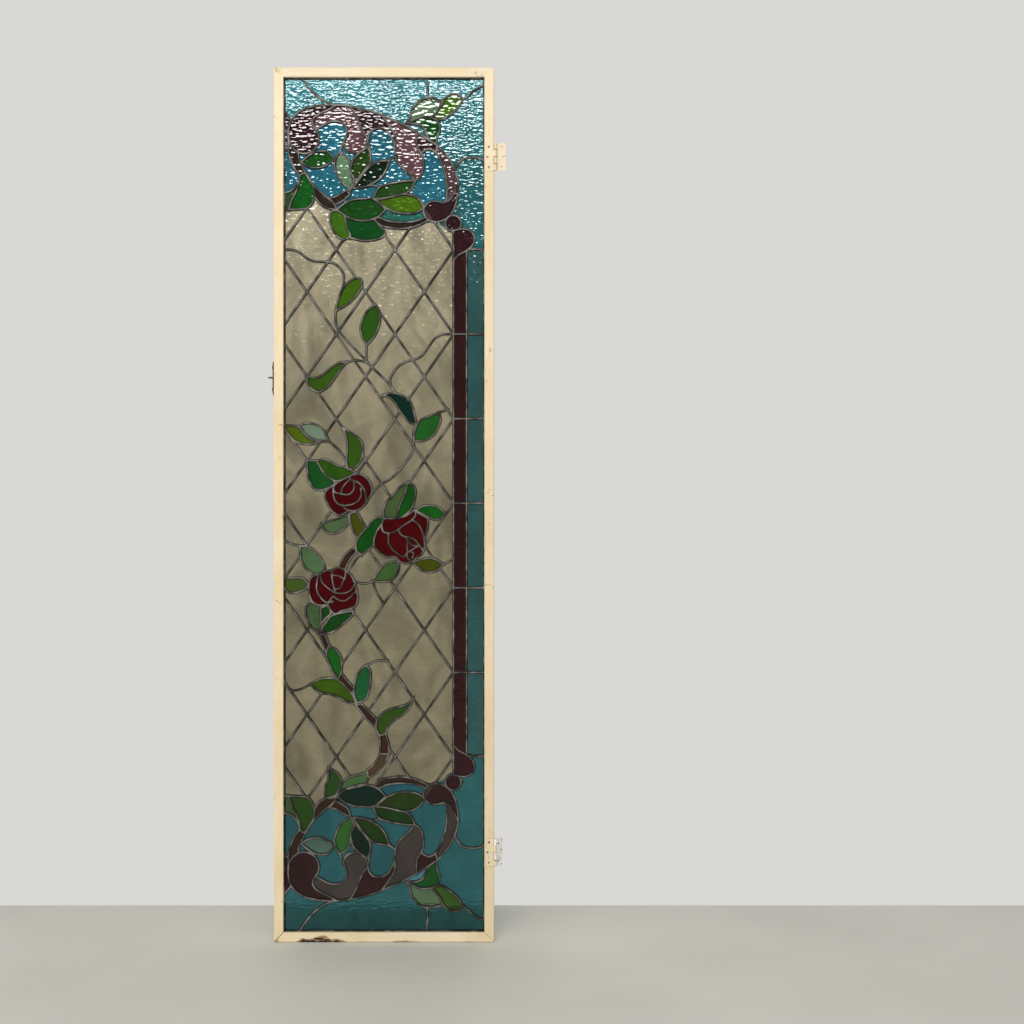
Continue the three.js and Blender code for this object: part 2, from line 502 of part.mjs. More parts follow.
const roses = {
  upper: {
    edge: outline(
      run(88, 911, 105, 922, 119.5, 932, 135.5, 939),
      run(135.5, 939, 149, 944.5, 164.5, 941, 175.5, 930.5, 182, 914.5, 181.5, 904, 174, 892, 170, 885, 159, 873,
        146, 867.5, 133, 868.5),
      run(133, 868.5, 124.5, 862, 111.5, 859, 98, 869, 89, 884.5, 85, 894, 84.5, 904, 88, 911),
    ),
    leads: [
      run(118, 903, 120.5, 914.5, 129, 926, 136, 932, 143, 931, 145.5, 922, 143, 909, 132.5, 901.5, 118, 903),
      run(135.5, 939, 136, 932, 151, 928, 162, 918.5, 168.5, 904, 170, 885),
      run(102, 914, 102, 901, 106, 888.5, 114, 881, 127.5, 879, 143, 882, 154, 889, 159, 899, 159, 914),
    ],
  },
  right: {
    edge: outline(
      run(270, 870, 281, 861, 297.5, 853),
      run(297.5, 853, 297, 837, 293, 818, 289.5, 810.5, 291, 794.5, 284, 778.5, 273.5, 770.5, 265.5, 762.5),
      run(265.5, 762.5, 249.5, 759.5, 237.5, 765, 231, 773, 212.5, 772, 199, 780, 188.5, 792, 185.5, 805,
        191, 824, 201.5, 840, 207, 851, 228, 852, 247, 855.5, 260, 863, 270, 870),
    ),
    leads: [
      run(202, 840, 204.5, 826, 215, 821.5, 231, 826, 247, 838, 265, 849.5, 272, 860, 270, 870),
      run(236, 828, 244, 817, 260, 813, 271, 807.5, 279, 797, 287, 787),
      run(216, 821, 216, 802.5, 223, 789, 236, 778.5, 247, 773, 256, 784),
      run(252, 813, 256, 806, 265, 797, 276, 795),
    ],
  },
  lower: {
    edge: outline(
      run(114, 751, 127.5, 745.5, 138, 736, 146, 720, 151, 699, 152.5, 685.5, 146, 670, 132.5, 664.5,
        119.5, 662, 106, 655, 95.5, 664.5, 90, 675),
      run(90, 675, 77, 672.5, 61, 678, 53, 693.5, 51.5, 715, 57, 731, 74.5, 738, 87.5, 744.5, 100, 744.5),
      run(100, 744.5, 107, 750, 114, 751),
    ),
    leads: [
      run(100, 744.5, 99, 735, 101, 720, 105, 704, 106, 699),
      run(74.5, 738, 79.5, 720, 93, 707, 106, 699, 119.5, 697.5, 135.5, 702, 145.5, 714),
      run(99, 735, 114, 733.5, 125, 728, 127.5, 745),
      run(105, 706, 117, 709.5, 121, 720, 125, 728),
      run(90, 675, 102, 691, 112, 684.5, 125, 682, 138, 691, 150, 703),
    ],
  },
};
const tendrils = [
  run(0, 1407.5, 16, 1407, 32, 1401.5, 45, 1390.5, 58.5, 1384, 74.5, 1382, 90, 1382, 103.5, 1378.5, 114, 1370.5,
    121, 1361, 123.5, 1350, 123.5, 1331),
  run(107.5, 1281, 106, 1265.5, 107.5, 1252, 112, 1241, 127.5, 1221, 146, 1202, 164.5, 1183.5, 183, 1163,
    201.5, 1145.5, 217.5, 1129.5, 230, 1111),
  run(170, 1210, 170, 1176),
  run(130, 1175, 146, 1179, 159, 1177.5, 171, 1174, 181, 1165),
  run(350, 1233.5, 324, 1231, 310.5, 1223, 300, 1208.5, 289, 1193, 279, 1184, 265.5, 1180, 249.5, 1175, 233.5, 1164,
    223, 1149.5, 219, 1138, 219, 1128),
  run(200.5, 1102, 206, 1106.5),
  run(238, 1071, 229, 1059.5),
  run(273, 1046, 267.5, 1031.5, 267, 1010, 266.5, 994.5, 260, 981, 247, 962.5, 233.5, 946.5, 217.5, 932,
    201.5, 924, 190, 914, 182, 906),
  run(319.5, 1070.5, 338, 1077.5),
  run(93, 1011.5, 106, 1000, 117, 989, 125, 975.5, 129, 962.5, 130, 955),
  run(71, 1010.5, 93, 1011.5),
  run(162.5, 983, 168.5, 972.5),
  run(0, 808, 13, 800, 29, 796.5, 47.5, 796.5),
  run(146, 722, 164.5, 717.5, 183, 721),
  run(183, 722.5, 191, 699, 204, 679),
  run(329.5, 757.5, 340, 762.5, 350, 768),
  run(54.5, 510, 40, 502, 26.5, 497.5, 14.5, 497),
  run(171, 549, 186, 556.5, 201.5, 559, 213, 558),
];

// ---- Lead lines that no other lead covers ----------------------------------------------------
const LAY_STEP = 1.5;
const COVERED = 2.4; // closer to an earlier lead than this, a new one isn't laid
const SHORTEST = 4;

function stepped(points) {
  const steps = [];
  for (let i = 0; i < points.length - 1; i++) {
    const count = Math.max(1, Math.round(points[i].distanceTo(points[i + 1]) / LAY_STEP));
    for (let k = 0; k < count; k++) steps.push(points[i].clone().lerp(points[i + 1], k / count));
  }
  return [...steps, points.at(-1)];
}

// The stretches of a line for which blocked gives a distance over the limit, each run on to where
// that distance is least.
function stretches(points, distance, limit) {
  const steps = stepped(points);
  const off = steps.map(distance);
  const found = [];
  for (let i = 0; i < steps.length; i++) {
    if (off[i] < limit) continue;
    let start = i;
    while (start > 0 && off[start - 1] < off[start]) start--;
    while (i < steps.length - 1 && off[i + 1] >= limit) i++;
    let end = i;
    while (end < steps.length - 1 && off[end + 1] < off[end]) end++;
    if (steps[start].distanceTo(steps[end]) > SHORTEST || end - start > SHORTEST) {
      found.push(simplified(steps.slice(start, end + 1)));
    }
  }
  return found;
}

const laid = []; // every lead line, with its width
function distanceToLaid(p) {
  let best = Infinity;
  for (const { points } of laid)
    for (let i = 0; i < points.length - 1; i++) best = Math.min(best, toSegment(p, points[i], points[i + 1]));
  return best;
}
function lay(points, width = CAME) {
  for (const found of stretches(points, distanceToLaid, COVERED)) laid.push({ points: found, width });
}
const layAround = (points, width) => lay([...points, points[0]], width);

const ends = [
  { turn: (points) => points, turnLine: (points) => points, hanging: upperHanging },
  { turn: turnedOver, turnLine: lineTurnedOver, hanging: lowerHanging },
];
for (const { turn, turnLine, hanging } of ends) {
  for (const piece of [scroll, teardrop, smallBall]) layAround(turn(piece));
  for (const piece of Object.values(innerLeaves)) layAround(turn(piece));
  for (const piece of [edgeLeaf, band, ...Object.values(sprig)]) layAround(turn(piece));
  for (const piece of Object.values(hanging)) layAround(piece);
  for (const line of [...scrollLeads, ...branchLeads, ...innerLeads, ...skyLeads]) lay(turnLine(line));
}
lay(pairs([COLUMN_LEFT, MIRROR_V - 1443, COLUMN_LEFT, 1443]));
lay(pairs([COLUMN_RIGHT, MIRROR_V - 1404, COLUMN_RIGHT, 1404]));
for (let i = 1; i < CROSS_ROWS - 1; i++) {
  const v = LATTICE.foot + i * LATTICE.rise;
  lay(pairs([COLUMN_LEFT, v, SIGHT_WIDTH + BORDER_CAME, v]));
}
for (const rose of Object.values(roses)) {
  layAround(rose.edge);
  for (const line of rose.leads) lay(line, FINE_CAME);
}
for (const piece of [...Object.values(middleLeaves), ...Object.values(branches)]) layAround(piece);
for (const line of tendrils) lay(line);

// The trellis fills what the motifs leave between the two scrolls.
const trellisField = pairs([
  ...[-6.5, 1489, 30, 1491, 47.5, 1494.5, 76, 1501, 112, 1484, 150, 1450, 200, 1455, 240, 1457, 285, 1463],
  ...[312, 1472, 350, 1461, 350, 308, 312, 297, 285, 306, 240, 312, 200, 314, 150, 312, 112, 285, 76, 268],
  ...[47.5, 274.5, 30, 278, -6.5, 280],
]);
const motifs = [
  ...ends.flatMap(({ turn, hanging }) => [scroll, smallBall, edgeLeaf, band].map(turn).concat(Object.values(hanging))),
  ...Object.values(roses).map((rose) => rose.edge),
  ...Object.values(middleLeaves),
  ...Object.values(branches),
];
function openTrellis(p) {
  if (!inside(p, trellisField) || motifs.some((motif) => inside(p, motif))) return 0;
  return distanceToLaid(p);
}
const lattice = [];
const slope = LATTICE.rise / LATTICE.pitch;
for (let i = -6; i <= 13; i++) {
  for (const way of [1, -1]) {
    const v = LATTICE.foot + i * LATTICE.rise * 0.5 * 2 - (way > 0 ? slope * COLUMN_LEFT : -slope * COLUMN_LEFT);
    const line = pairs([-6, v - way * slope * 6, COLUMN_LEFT, v + way * slope * COLUMN_LEFT]);
    lattice.push(...stretches(line, openTrellis, COVERED));
  }
}
for (const points of lattice) laid.push({ points, width: CAME });

// ---- Lead and glass --------------------------------------------------------------------------
function addGlazing() {
  const around = (inset) =>
    pairs([
      ...[-PANEL_OVER + inset, -PANEL_OVER + inset, SIGHT_WIDTH + PANEL_OVER - inset, -PANEL_OVER + inset],
      ...[SIGHT_WIDTH + PANEL_OVER - inset, SIGHT_HEIGHT + PANEL_OVER - inset],
      ...[-PANEL_OVER + inset, SIGHT_HEIGHT + PANEL_OVER - inset],
    ]);
  const leadFront = [LEAD_Y, LEAD_Y + CAME_DEPTH];
  const border = plate(around(0), ...leadFront, [around(PANEL_OVER + BORDER_CAME).reverse()]);
  const cames = laid.flatMap(({ points, width }) => bars(points, width).map((bar) => plate(bar, ...leadFront)));
  const net = Manifold.union([border, ...cames]).intersect(plate(around(0), ...leadFront));
  addPiece("lead_cames", tidied(largest(net), ...leadFront, FIT.cell, NOTCH), finishes.lead);

  const glassY = [GLASS_Y, GLASS_Y + GLASS];
  const within = plate(around(1), ...glassY);
  let taken = Manifold.union([]); // everything already given a piece of glass
  function give(name, outlines, material) {
    const coarse = outlines.map((points) => trimmed(points, FIT.glass));
    const piece = Manifold.union(coarse.map((o) => plate(o, ...glassY))).intersect(within).subtract(taken);
    addPiece(name, largest(piece.asOriginal().simplify(FINEST_EDGE)), material);
    taken = Manifold.union([taken, ...coarse.map((o) => plate(grown(o, GLASS_GAP), ...glassY))]);
  }

  const { pale, light, hook } = sprig;
  const tendrilLeaf = middleLeaves;
  ends.forEach(({ turn, hanging }, lower) => {
    const end = lower ? "lower" : "upper";
    give(`${end}_scroll_glass`, [scroll, edgeSliver].map(turn), finishes.plum);
    give(`${end}_finial_glass`, [smallBall, teardrop].map(turn), finishes.plum);
    give(`${end}_sprig_glass`, [turn(pale), turn(light), turn(hook), turn(hookGap)], finishes.green);
    const garden = pairs([
      ...[-6.5, 1505, 14, 1503, 40, 1500, 55, 1530, 63, 1538, 72, 1514, 90, 1500, 105, 1486, 130, 1470],
      ...[190, 1460, 240, 1456, 285, 1463, 310, 1485, 345, 1490, 348, 1540, 330, 1590, 310, 1617],
      ...[250, 1640, 200, 1670, 120, 1690, 60, 1650, 20, 1650, 5, 1640, -6.5, 1612],
    ]);
    const edge = pairs([-6.5, 1487, 12, 1487.5, 20, 1509, 24, 1520, -6.5, 1520]);
    const branch = outline(
      run(63.5, 1537, 64, 1517, 74, 1502, 88, 1493, 109, 1489),
      run(109, 1489, 120, 1500, 90, 1520, 63.5, 1537),
    );
    const gardenPieces = [turn(outline(garden)), turn(outline(edge)), turn(branch), turn(edgeLeaf), turn(band)];
    give(`${end}_garden_glass`, [...gardenPieces, ...Object.values(hanging)], finishes.blue);
    const sky = pairs([
      ...[-6.5, 1690, 12, 1668, 50, 1690, 120, 1697, 200, 1680, 250, 1655, 310, 1625, 330, 1600, 350, 1540],
      ...[340, 1475, 355, 1455, 372, 1430, 385, 1407.5, 420.5, 1407.5, 420.5, 1767.5, -6.5, 1767.5],
    ]);
    give(`${end}_sky_glass`, [turn(outline(sky))], finishes.teal);
  });
  for (const [place, rose] of Object.entries(roses)) give(`${place}_rose_glass`, [rose.edge], finishes.rose);
  const sprays = {
    bud_leaf: [tendrilLeaf.bud],
    drop_leaf: [tendrilLeaf.drop],
    wave_leaf: [tendrilLeaf.wave],
    spruce_leaf: [tendrilLeaf.spruce],
    fresh_leaf: [tendrilLeaf.fresh],
    upper_rose_leaves: [tendrilLeaf.crescent, tendrilLeaf.hollow, tendrilLeaf.ridge],
    right_rose_top_leaves: [tendrilLeaf.lichen, tendrilLeaf.emerald],
    right_rose_fern_leaf: [tendrilLeaf.fern],
    right_rose_foot_leaf: [tendrilLeaf.autumn],
    middle_leaf: [tendrilLeaf.dusk],
    middle_branch: [tendrilLeaf.bright],
    shoulder_leaf: [tendrilLeaf.shade],
    verge_leaf: [tendrilLeaf.verge],
    lance_leaf: [tendrilLeaf.lance],
    willow_leaf: [tendrilLeaf.willow],
    reed_leaf: [tendrilLeaf.reed],
    jade_leaf: [tendrilLeaf.jade],
    root_branch: [branches.fifth, branches.root],
    crest_leaf: [tendrilLeaf.crest],
  };
  for (const [name, pieces] of Object.entries(sprays)) give(`${name}_glass`, pieces, finishes.green);
  const stripOf = (u0, u1) => pairs([u0, MIRROR_V - 1407.5, u1, MIRROR_V - 1407.5, u1, 1407.5, u0, 1407.5]);
  give("column_glass", [stripOf(COLUMN_LEFT, COLUMN_RIGHT)], finishes.plum);
  give("border_glass", [stripOf(COLUMN_RIGHT, SIGHT_WIDTH + PANEL_OVER)], finishes.teal);
  give("trellis_glass", [pairs([-6.5, 270, COLUMN_LEFT, 270, COLUMN_LEFT, 1540, -6.5, 1540])], finishes.quarry);
}

// ---- Frame -----------------------------------------------------------------------------------
// A member runs along its own length with mitred ends. Its section is given as distance in from
// the outer edge and distance back from the front; place puts (along, in, back) into the window.
function member(length, section, gaps, place) {
  const shape = new THREE.Shape(section.map(([inward, back]) => new THREE.Vector2(inward, back)));
  const geometry = new THREE.ExtrudeGeometry(shape, { depth: 1, bevelEnabled: false });
  const points = geometry.getAttribute("position");
  for (let i = 0; i < points.count; i++) {
    const inward = points.getX(i);
    const back = points.getY(i);
    const atEnd = points.getZ(i) > 0.5;
    const cut = inward + (atEnd ? gaps[1] : gaps[0]) / 2;
    points.setXYZ(i, ...place(atEnd ? length - cut : cut, inward, back));
  }
  const bare = geometry.clone();
  bare.deleteAttribute("normal");
  bare.deleteAttribute("uv");
  const merged = mergeVertices(bare, 1e-4);
  const index = merged.index.array;
  const volume = signedVolume(merged.attributes.position.array, index);
  if (volume < 0) for (let i = 0; i < index.length; i += 3) [index[i], index[i + 1]] = [index[i + 1], index[i]];
  return solid(merged);
}

function signedVolume(positions, index) {
  const corner = (i) => new THREE.Vector3().fromArray(positions, 3 * index[i]);
  let total = 0;
  for (let i = 0; i < index.length; i += 3) total += corner(i).dot(corner(i + 1).cross(corner(i + 2)));
  return total / 6;
}

const outerIn = MEMBER_FACE - REBATE; // wood left outside the rebate
const frameSection = [
  [ARRIS, 0],
  [MEMBER_FACE - ARRIS, 0],
  [MEMBER_FACE, ARRIS],
  [MEMBER_FACE, LIP],
  [outerIn, LIP],
  [outerIn, MEMBER_DEPTH],
  [0, MEMBER_DEPTH],
  [0, ARRIS],
];
const beadBack = BEAD_Y - FRONT_Y + CLEAR;
const beadSection = [
  [outerIn + CLEAR, beadBack],
  [MEMBER_FACE, beadBack],
  [MEMBER_FACE, beadBack + BEAD_DEPTH / 3],
  [outerIn + 2, beadBack + BEAD_DEPTH],
  [outerIn + CLEAR, beadBack + BEAD_DEPTH],
];
const sides = {
  catch_stile: (along, inward, back) => [OUTER_LEFT + inward, FRONT_Y + back, FRAME_BOTTOM + along],
  hinge_stile: (along, inward, back) => [OUTER_RIGHT - inward, FRONT_Y + back, FRAME_BOTTOM + along],
  bottom_rail: (along, inward, back) => [OUTER_LEFT + along, FRONT_Y + back, FRAME_BOTTOM + inward],
  top_rail: (along, inward, back) => [OUTER_LEFT + along, FRONT_Y + back, FRAME_TOP - inward],
};
const sideCorners = {
  catch_stile: ["bottomLeft", "topLeft"],
  hinge_stile: ["bottomRight", "topRight"],
  bottom_rail: ["bottomLeft", "bottomRight"],
  top_rail: ["topLeft", "topRight"],
};

// Wood lost at the two bottom corners: a wedge off the tip, its legs given along x and z.
function chip(x, z, alongX, alongZ) {
  const shape = new THREE.Shape(pairs([-1, -1, alongX, -1, -1, alongZ]));
  const geometry = new THREE.ExtrudeGeometry(shape, { depth: MEMBER_DEPTH + 2, bevelEnabled: false });
  geometry.rotateX(Math.PI / 2);
  const wedge = solid(geometry.translate(0, MEMBER_DEPTH + 1, 0));
  return (x < OUTER_LEFT + 1 ? wedge : wedge.mirror([1, 0, 0])).translate([x, 0, z]);
}

function screwBores(hingeZ) {
  return SCREW_HOLES.map(({ out, up }) =>
    turned([[0, -1], [SHANK_R + CLEAR, -1], [SHANK_R + CLEAR, BORE_DEPTH], [0, BORE_DEPTH]], SCREW_SIDES)
      .rotate([-90, 0, 0])
      .translate([AXIS_X - out, FRONT_Y, hingeZ + up]),
  );
}

function addFrame() {
  for (const [name, place] of Object.entries(sides)) {
    const length = name.endsWith("rail") ? LEAF_WIDTH : LEAF_HEIGHT;
    const gaps = sideCorners[name].map((corner) => CORNER_GAPS[corner]);
    let wood = member(length, frameSection, gaps, place);
    if (name === "hinge_stile") {
      wood = Manifold.difference([wood, ...screwBores(0), ...screwBores(LOWER_HINGE_Z)]);
    }
    if (name !== "top_rail") {
      wood = wood.subtract(chip(OUTER_LEFT, FRAME_BOTTOM, 4.5, 6.5));
      wood = wood.subtract(chip(OUTER_RIGHT, FRAME_BOTTOM, 3.5, 3));
    }
    addPiece(`frame_${name}`, wood, finishes.cream);
    const beadGap = 2 * CLEAR;
    addPiece(`bead_${name}`, member(length, beadSection, [beadGap, beadGap], place), finishes.cream);
  }
}

// ---- Hinges ----------------------------------------------------------------------------------
// A leaf round its own pin axis, reaching towards +X with its back tangent to the barrel. The first
// knuckle is the top one.
function hingeLeaf(firstKnuckle) {
  const pitch = HINGE_HEIGHT / KNUCKLES;
  const curl = new THREE.Shape();
  const lip = Math.sqrt(BARREL_R ** 2 - (BARREL_R - SHEET) ** 2);
  const lipTurn = Math.asin((BARREL_R - SHEET) / BARREL_R);
  const curled = (3 / 2) * Math.PI + lipTurn; // from the back, round the pin, to the leaf's front
  const reach = BARREL_R + 2;
  curl.moveTo(reach, BARREL_R - SHEET);
  curl.lineTo(reach, BARREL_R);
  curl.lineTo(0, BARREL_R);
  for (let i = 1; i < ROUND_SIDES; i++) {
    const turn = Math.PI / 2 + (curled * i) / ROUND_SIDES;
    curl.lineTo(BARREL_R * Math.cos(turn), BARREL_R * Math.sin(turn));
  }
  curl.lineTo(lip, BARREL_R - SHEET);
  curl.holes = [new THREE.Path(circle(0, 0, PIN_R + CLEAR, ROUND_SIDES).reverse())];
  const parts = [
    block(BARREL_R + KNUCKLE_GAP, BARREL_R - SHEET, -HINGE_HEIGHT / 2, HINGE_REACH, BARREL_R, HINGE_HEIGHT / 2),
  ];
  for (let i = firstKnuckle; i < KNUCKLES; i += 2) {
    const height = pitch - KNUCKLE_GAP;
    const knuckle = new THREE.ExtrudeGeometry(curl, { depth: height, bevelEnabled: false });
    parts.push(solid(knuckle.translate(0, 0, HINGE_HEIGHT / 2 - i * pitch - height)));
  }
  const holes = SCREW_HOLES.map(({ out, up }) =>
    turned([[0, -CLEAR], [HOLE.front, -CLEAR], [HOLE.back, SHEET + CLEAR], [0, SHEET + CLEAR]], SCREW_SIDES)
      .rotate([-90, 0, 0])
      .translate([out, BARREL_R - SHEET, up]),
  );
  return Manifold.difference([Manifold.union(parts), ...holes]);
}

const hingePin = () => {
  const half = HINGE_HEIGHT / 2;
  return turned([[0, -half - PIN_TIP], [PIN_R, -half], [PIN_R, half], [0, half + PIN_TIP]], SCREW_SIDES);
};

const hingeScrew = () =>
  turned(
    [[0, 0], [HOLE.front - CLEAR, 0], [SHANK_R, SHEET], [SHANK_R, SCREW_LENGTH - 2], [0, SCREW_LENGTH]],
    SCREW_SIDES,
  ).rotate([-90, 0, 0]);

function addHinges() {
  const hinges = { upper: 0, lower: LOWER_HINGE_Z };
  for (const [name, z] of Object.entries(hinges)) {
    const fixed = hingeLeaf(1).mirror([1, 0, 0]).translate([AXIS_X, AXIS_Y, z]);
    addPiece(`${name}_hinge_fixed_leaf`, fixed, finishes.cream);
    addPiece(`${name}_hinge_pin`, hingePin().translate([AXIS_X, AXIS_Y, z]), finishes.steel);
    SCREW_HOLES.forEach(({ out, up }, i) => {
      const screw = hingeScrew().translate([AXIS_X - out, AXIS_Y + BARREL_R - SHEET + 0.1, z + up]);
      addPiece(`${name}_hinge_screw_${i + 1}`, screw, finishes.cream);
    });
  }
  addPiece("upper_hinge_free_leaf", hingeLeaf(0).translate([AXIS_X, AXIS_Y, 0]), finishes.cream);
  addPiece("lower_hinge_free_leaf", hingeLeaf(0), finishes.primer, lowerFreeLeaf);
}

// ---- Catch keep on the outer edge ------------------------------------------------------------
function addKeep() {
  const middleY = FRONT_Y + MEMBER_DEPTH / 2;
  const z = FRAME_BOTTOM + CATCH_UP;
  const half = CATCH.height / 2;
  const depth = CATCH.depth / 2;
  const shape = new THREE.Shape(
    pairs([
      ...[-depth, -half + CATCH.end, -depth + CATCH.end, -half, depth - CATCH.end, -half],
      ...[depth, -half + CATCH.end, depth, half - CATCH.end, depth - CATCH.end, half],
      ...[-depth + CATCH.end, half, -depth, half - CATCH.end],
    ]),
  );
  const keep = new THREE.ExtrudeGeometry(shape, { depth: CATCH.proud, bevelEnabled: false });
  keep.rotateX(Math.PI / 2).rotateZ(Math.PI / 2);
  keep.computeBoundingBox();
  const face = OUTER_LEFT - CLEAR;
  keep.translate(face - keep.boundingBox.max.x, middleY, z);
  const outward = face - CATCH.proud;
  const pinZ = z + CATCH_PIN.up;
  const hole = turned([[0, -3], [CATCH_PIN.r + CLEAR, -3], [CATCH_PIN.r + CLEAR, 9], [0, 9]], SCREW_SIDES);
  addPiece(
    "catch_keep",
    solid(keep).subtract(hole.rotate([0, -90, 0]).translate([face, middleY, pinZ])),
    finishes.brass,
  );
  const pin = turned(
    [[0, 0], [CATCH_PIN.r, 0], [CATCH_PIN.r, CATCH_PIN.length - 1], [CATCH_PIN.r - 1, CATCH_PIN.length], [0, CATCH_PIN.length]],
    SCREW_SIDES,
  );
  addPiece("catch_pin", pin.rotate([0, -90, 0]).translate([face, middleY, pinZ]), finishes.steel);
  [1, -1].forEach((way, i) => {
    const { r, rise, fromEnd } = CATCH_SCREW;
    const dome = turned([[0, 0], [r, 0], [r * 0.8, rise * 0.7], [0, rise]], SCREW_SIDES);
    const at = [outward - CLEAR, middleY, z + way * (half - fromEnd)];
    addPiece(`catch_screw_${i + 1}`, dome.rotate([0, -90, 0]).translate(at), finishes.brass);
  });
}

addFrame();
addGlazing();
addHinges();
addKeep();

export default window;
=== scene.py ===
"""Looks of the leaded window leaf: its glass, lead, paint, hinges and catch, and the studio."""

import logging
import math
import random
from dataclasses import dataclass, field
from enum import Enum
from typing import Callable, Optional, Sequence

import bmesh
import bpy
import numpy as np
from mathutils import Matrix, Vector, geometry


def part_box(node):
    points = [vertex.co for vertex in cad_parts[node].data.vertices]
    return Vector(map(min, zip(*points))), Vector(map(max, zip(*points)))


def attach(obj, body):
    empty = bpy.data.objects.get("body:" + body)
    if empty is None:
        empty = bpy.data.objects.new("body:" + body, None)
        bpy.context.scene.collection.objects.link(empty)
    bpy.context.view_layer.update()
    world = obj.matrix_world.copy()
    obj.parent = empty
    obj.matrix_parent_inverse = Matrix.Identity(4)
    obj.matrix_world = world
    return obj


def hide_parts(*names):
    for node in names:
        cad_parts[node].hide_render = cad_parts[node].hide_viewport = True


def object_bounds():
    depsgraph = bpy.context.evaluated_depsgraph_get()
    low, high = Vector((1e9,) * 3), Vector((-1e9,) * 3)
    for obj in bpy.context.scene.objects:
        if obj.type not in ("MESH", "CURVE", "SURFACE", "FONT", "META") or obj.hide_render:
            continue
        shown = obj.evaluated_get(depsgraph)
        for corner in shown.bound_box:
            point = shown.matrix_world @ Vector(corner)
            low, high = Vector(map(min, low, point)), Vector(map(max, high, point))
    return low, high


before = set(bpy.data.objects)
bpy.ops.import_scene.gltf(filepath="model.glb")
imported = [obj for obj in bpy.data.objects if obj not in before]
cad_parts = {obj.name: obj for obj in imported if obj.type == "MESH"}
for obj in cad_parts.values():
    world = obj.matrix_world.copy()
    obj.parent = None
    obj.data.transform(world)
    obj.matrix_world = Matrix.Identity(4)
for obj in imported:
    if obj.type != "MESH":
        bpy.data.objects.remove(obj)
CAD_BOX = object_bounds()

LOG = logging.getLogger("leaded_window")
MM = 0.001
SASH = "sash"
MIRROR_V = 1769  # a height v of the upper end lies at MIRROR_V - v in the lower one
SIGHT = (414.0, 1761.0)  # width and height of the panel within the frame's lip
OVER = 6.5  # panel hidden by the frame's lip, on each side
COLUMN = (350.0, 377.0)  # the leads on the two sides of the plum column
CLOSE = 0.3  # points nearer than this are one point

Point = tuple[float, float]
Line = list[Point]
Colour = tuple[float, float, float]
Rgb = tuple[int, int, int]
Turn = Callable[[Line], Line]
Socket = bpy.types.NodeSocket


# ---- Plane curves, in millimetres of the panel: u right and v up from its lower left corner ----
def pairs(flat: Sequence[float]) -> Line:
    """Points from a flat row of u, v, u, v."""
    return [(float(u), float(v)) for u, v in zip(flat[::2], flat[1::2])]


def to_segment(p: Point, a: Point, b: Point) -> float:
    """Distance from a point to a straight stretch.

    Args:
        p: the point.
        a: one end of the stretch.
        b: its other end.

    Returns:
        The distance.
    """
    du, dv = b[0] - a[0], b[1] - a[1]
    t = ((p[0] - a[0]) * du + (p[1] - a[1]) * dv) / ((du * du + dv * dv) or 1)
    t = min(1.0, max(0.0, t))
    return math.hypot(p[0] - a[0] - t * du, p[1] - a[1] - t * dv)


def simplified(points: Line, fit: float = 0.35) -> Line:
    """The fewest corners that keep a polyline within the fit.

    Args:
        points: the polyline.
        fit: how far it may stray, in millimetres.

    Returns:
        The thinned polyline, with its ends kept.
    """
    if len(points) < 3:
        return points
    off = [to_segment(p, points[0], points[-1]) for p in points[1:-1]]
    far = max(off)
    if far <= fit:
        return [points[0], points[-1]]
    at = off.index(far) + 1
    return simplified(points[: at + 1], fit)[:-1] + simplified(points[at:], fit)


def run(*flat: float) -> Line:
    """A smooth run through its points: a centripetal Catmull-Rom curve.

    Args:
        flat: the points' coordinates in turn, u, v, u, v.

    Returns:
        The run as a polyline.
    """
    points = [Vector(p) for p in pairs(flat)]
    if len(points) < 3:
        return [tuple(p) for p in points]
    held = [2 * points[0] - points[1], *points, 2 * points[-1] - points[-2]]
    steps = 8  # straight pieces between two points
    made: Line = []
    for p0, p1, p2, p3 in zip(held, held[1:], held[2:], held[3:]):
        d1, d2, d3 = (
            max((b - a).length, 1e-4) ** 0.5 for a, b in ((p0, p1), (p1, p2), (p2, p3))
        )
        t1 = ((p1 - p0) / d1 - (p2 - p0) / (d1 + d2) + (p2 - p1) / d2) * d2
        t2 = ((p2 - p1) / d2 - (p3 - p1) / (d2 + d3) + (p3 - p2) / d3) * d2
        for k in range(steps):
            t = k / steps
            cubic = (2 * p1 - 2 * p2 + t1 + t2) * t**3
            square = (3 * p2 - 3 * p1 - 2 * t1 - t2) * t**2
            at = cubic + square + t1 * t + p1
            made.append((at.x, at.y))
    return simplified([*made, tuple(points[-1])])


def outline(*runs: Line) -> Line:
    """A closed outline of runs that follow each other, with no point given twice.

    Args:
        runs: the runs, each starting where the last one ends.

    Returns:
        The outline, without its first point again at the end.
    """
    points: Line = []
    for p in (p for one in runs for p in one):
        if not points or math.dist(p, points[-1]) > CLOSE:
            points.append(p)
    return points[:-1] if math.dist(points[0], points[-1]) <= CLOSE else points


def blade(
    stalk: list[float], edge: list[float], tip: list[float], back: list[float]
) -> Line:
    """The outline of a leaf.

    Args:
        stalk: the point at its stalk.
        edge: points along one edge.
        tip: the point at its tip.
        back: points along the other edge, back to the stalk.

    Returns:
        The outline.
    """
    return outline(run(*stalk, *edge, *tip), run(*tip, *back, *stalk))


def circle(u: float, v: float, r: float, sides: int = 20) -> Line:
    """A round outline.

    Args:
        u: its centre, across.
        v: its centre, up.
        r: its radius.
        sides: how many sides it is drawn with.

    Returns:
        The outline.
    """
    turns = [2 * math.pi * i / sides for i in range(sides)]
    return [(u + r * math.cos(a), v + r * math.sin(a)) for a in turns]


def as_drawn(points: Line) -> Line:
    """The same line in the upper end, which is drawn as it stands."""
    return points


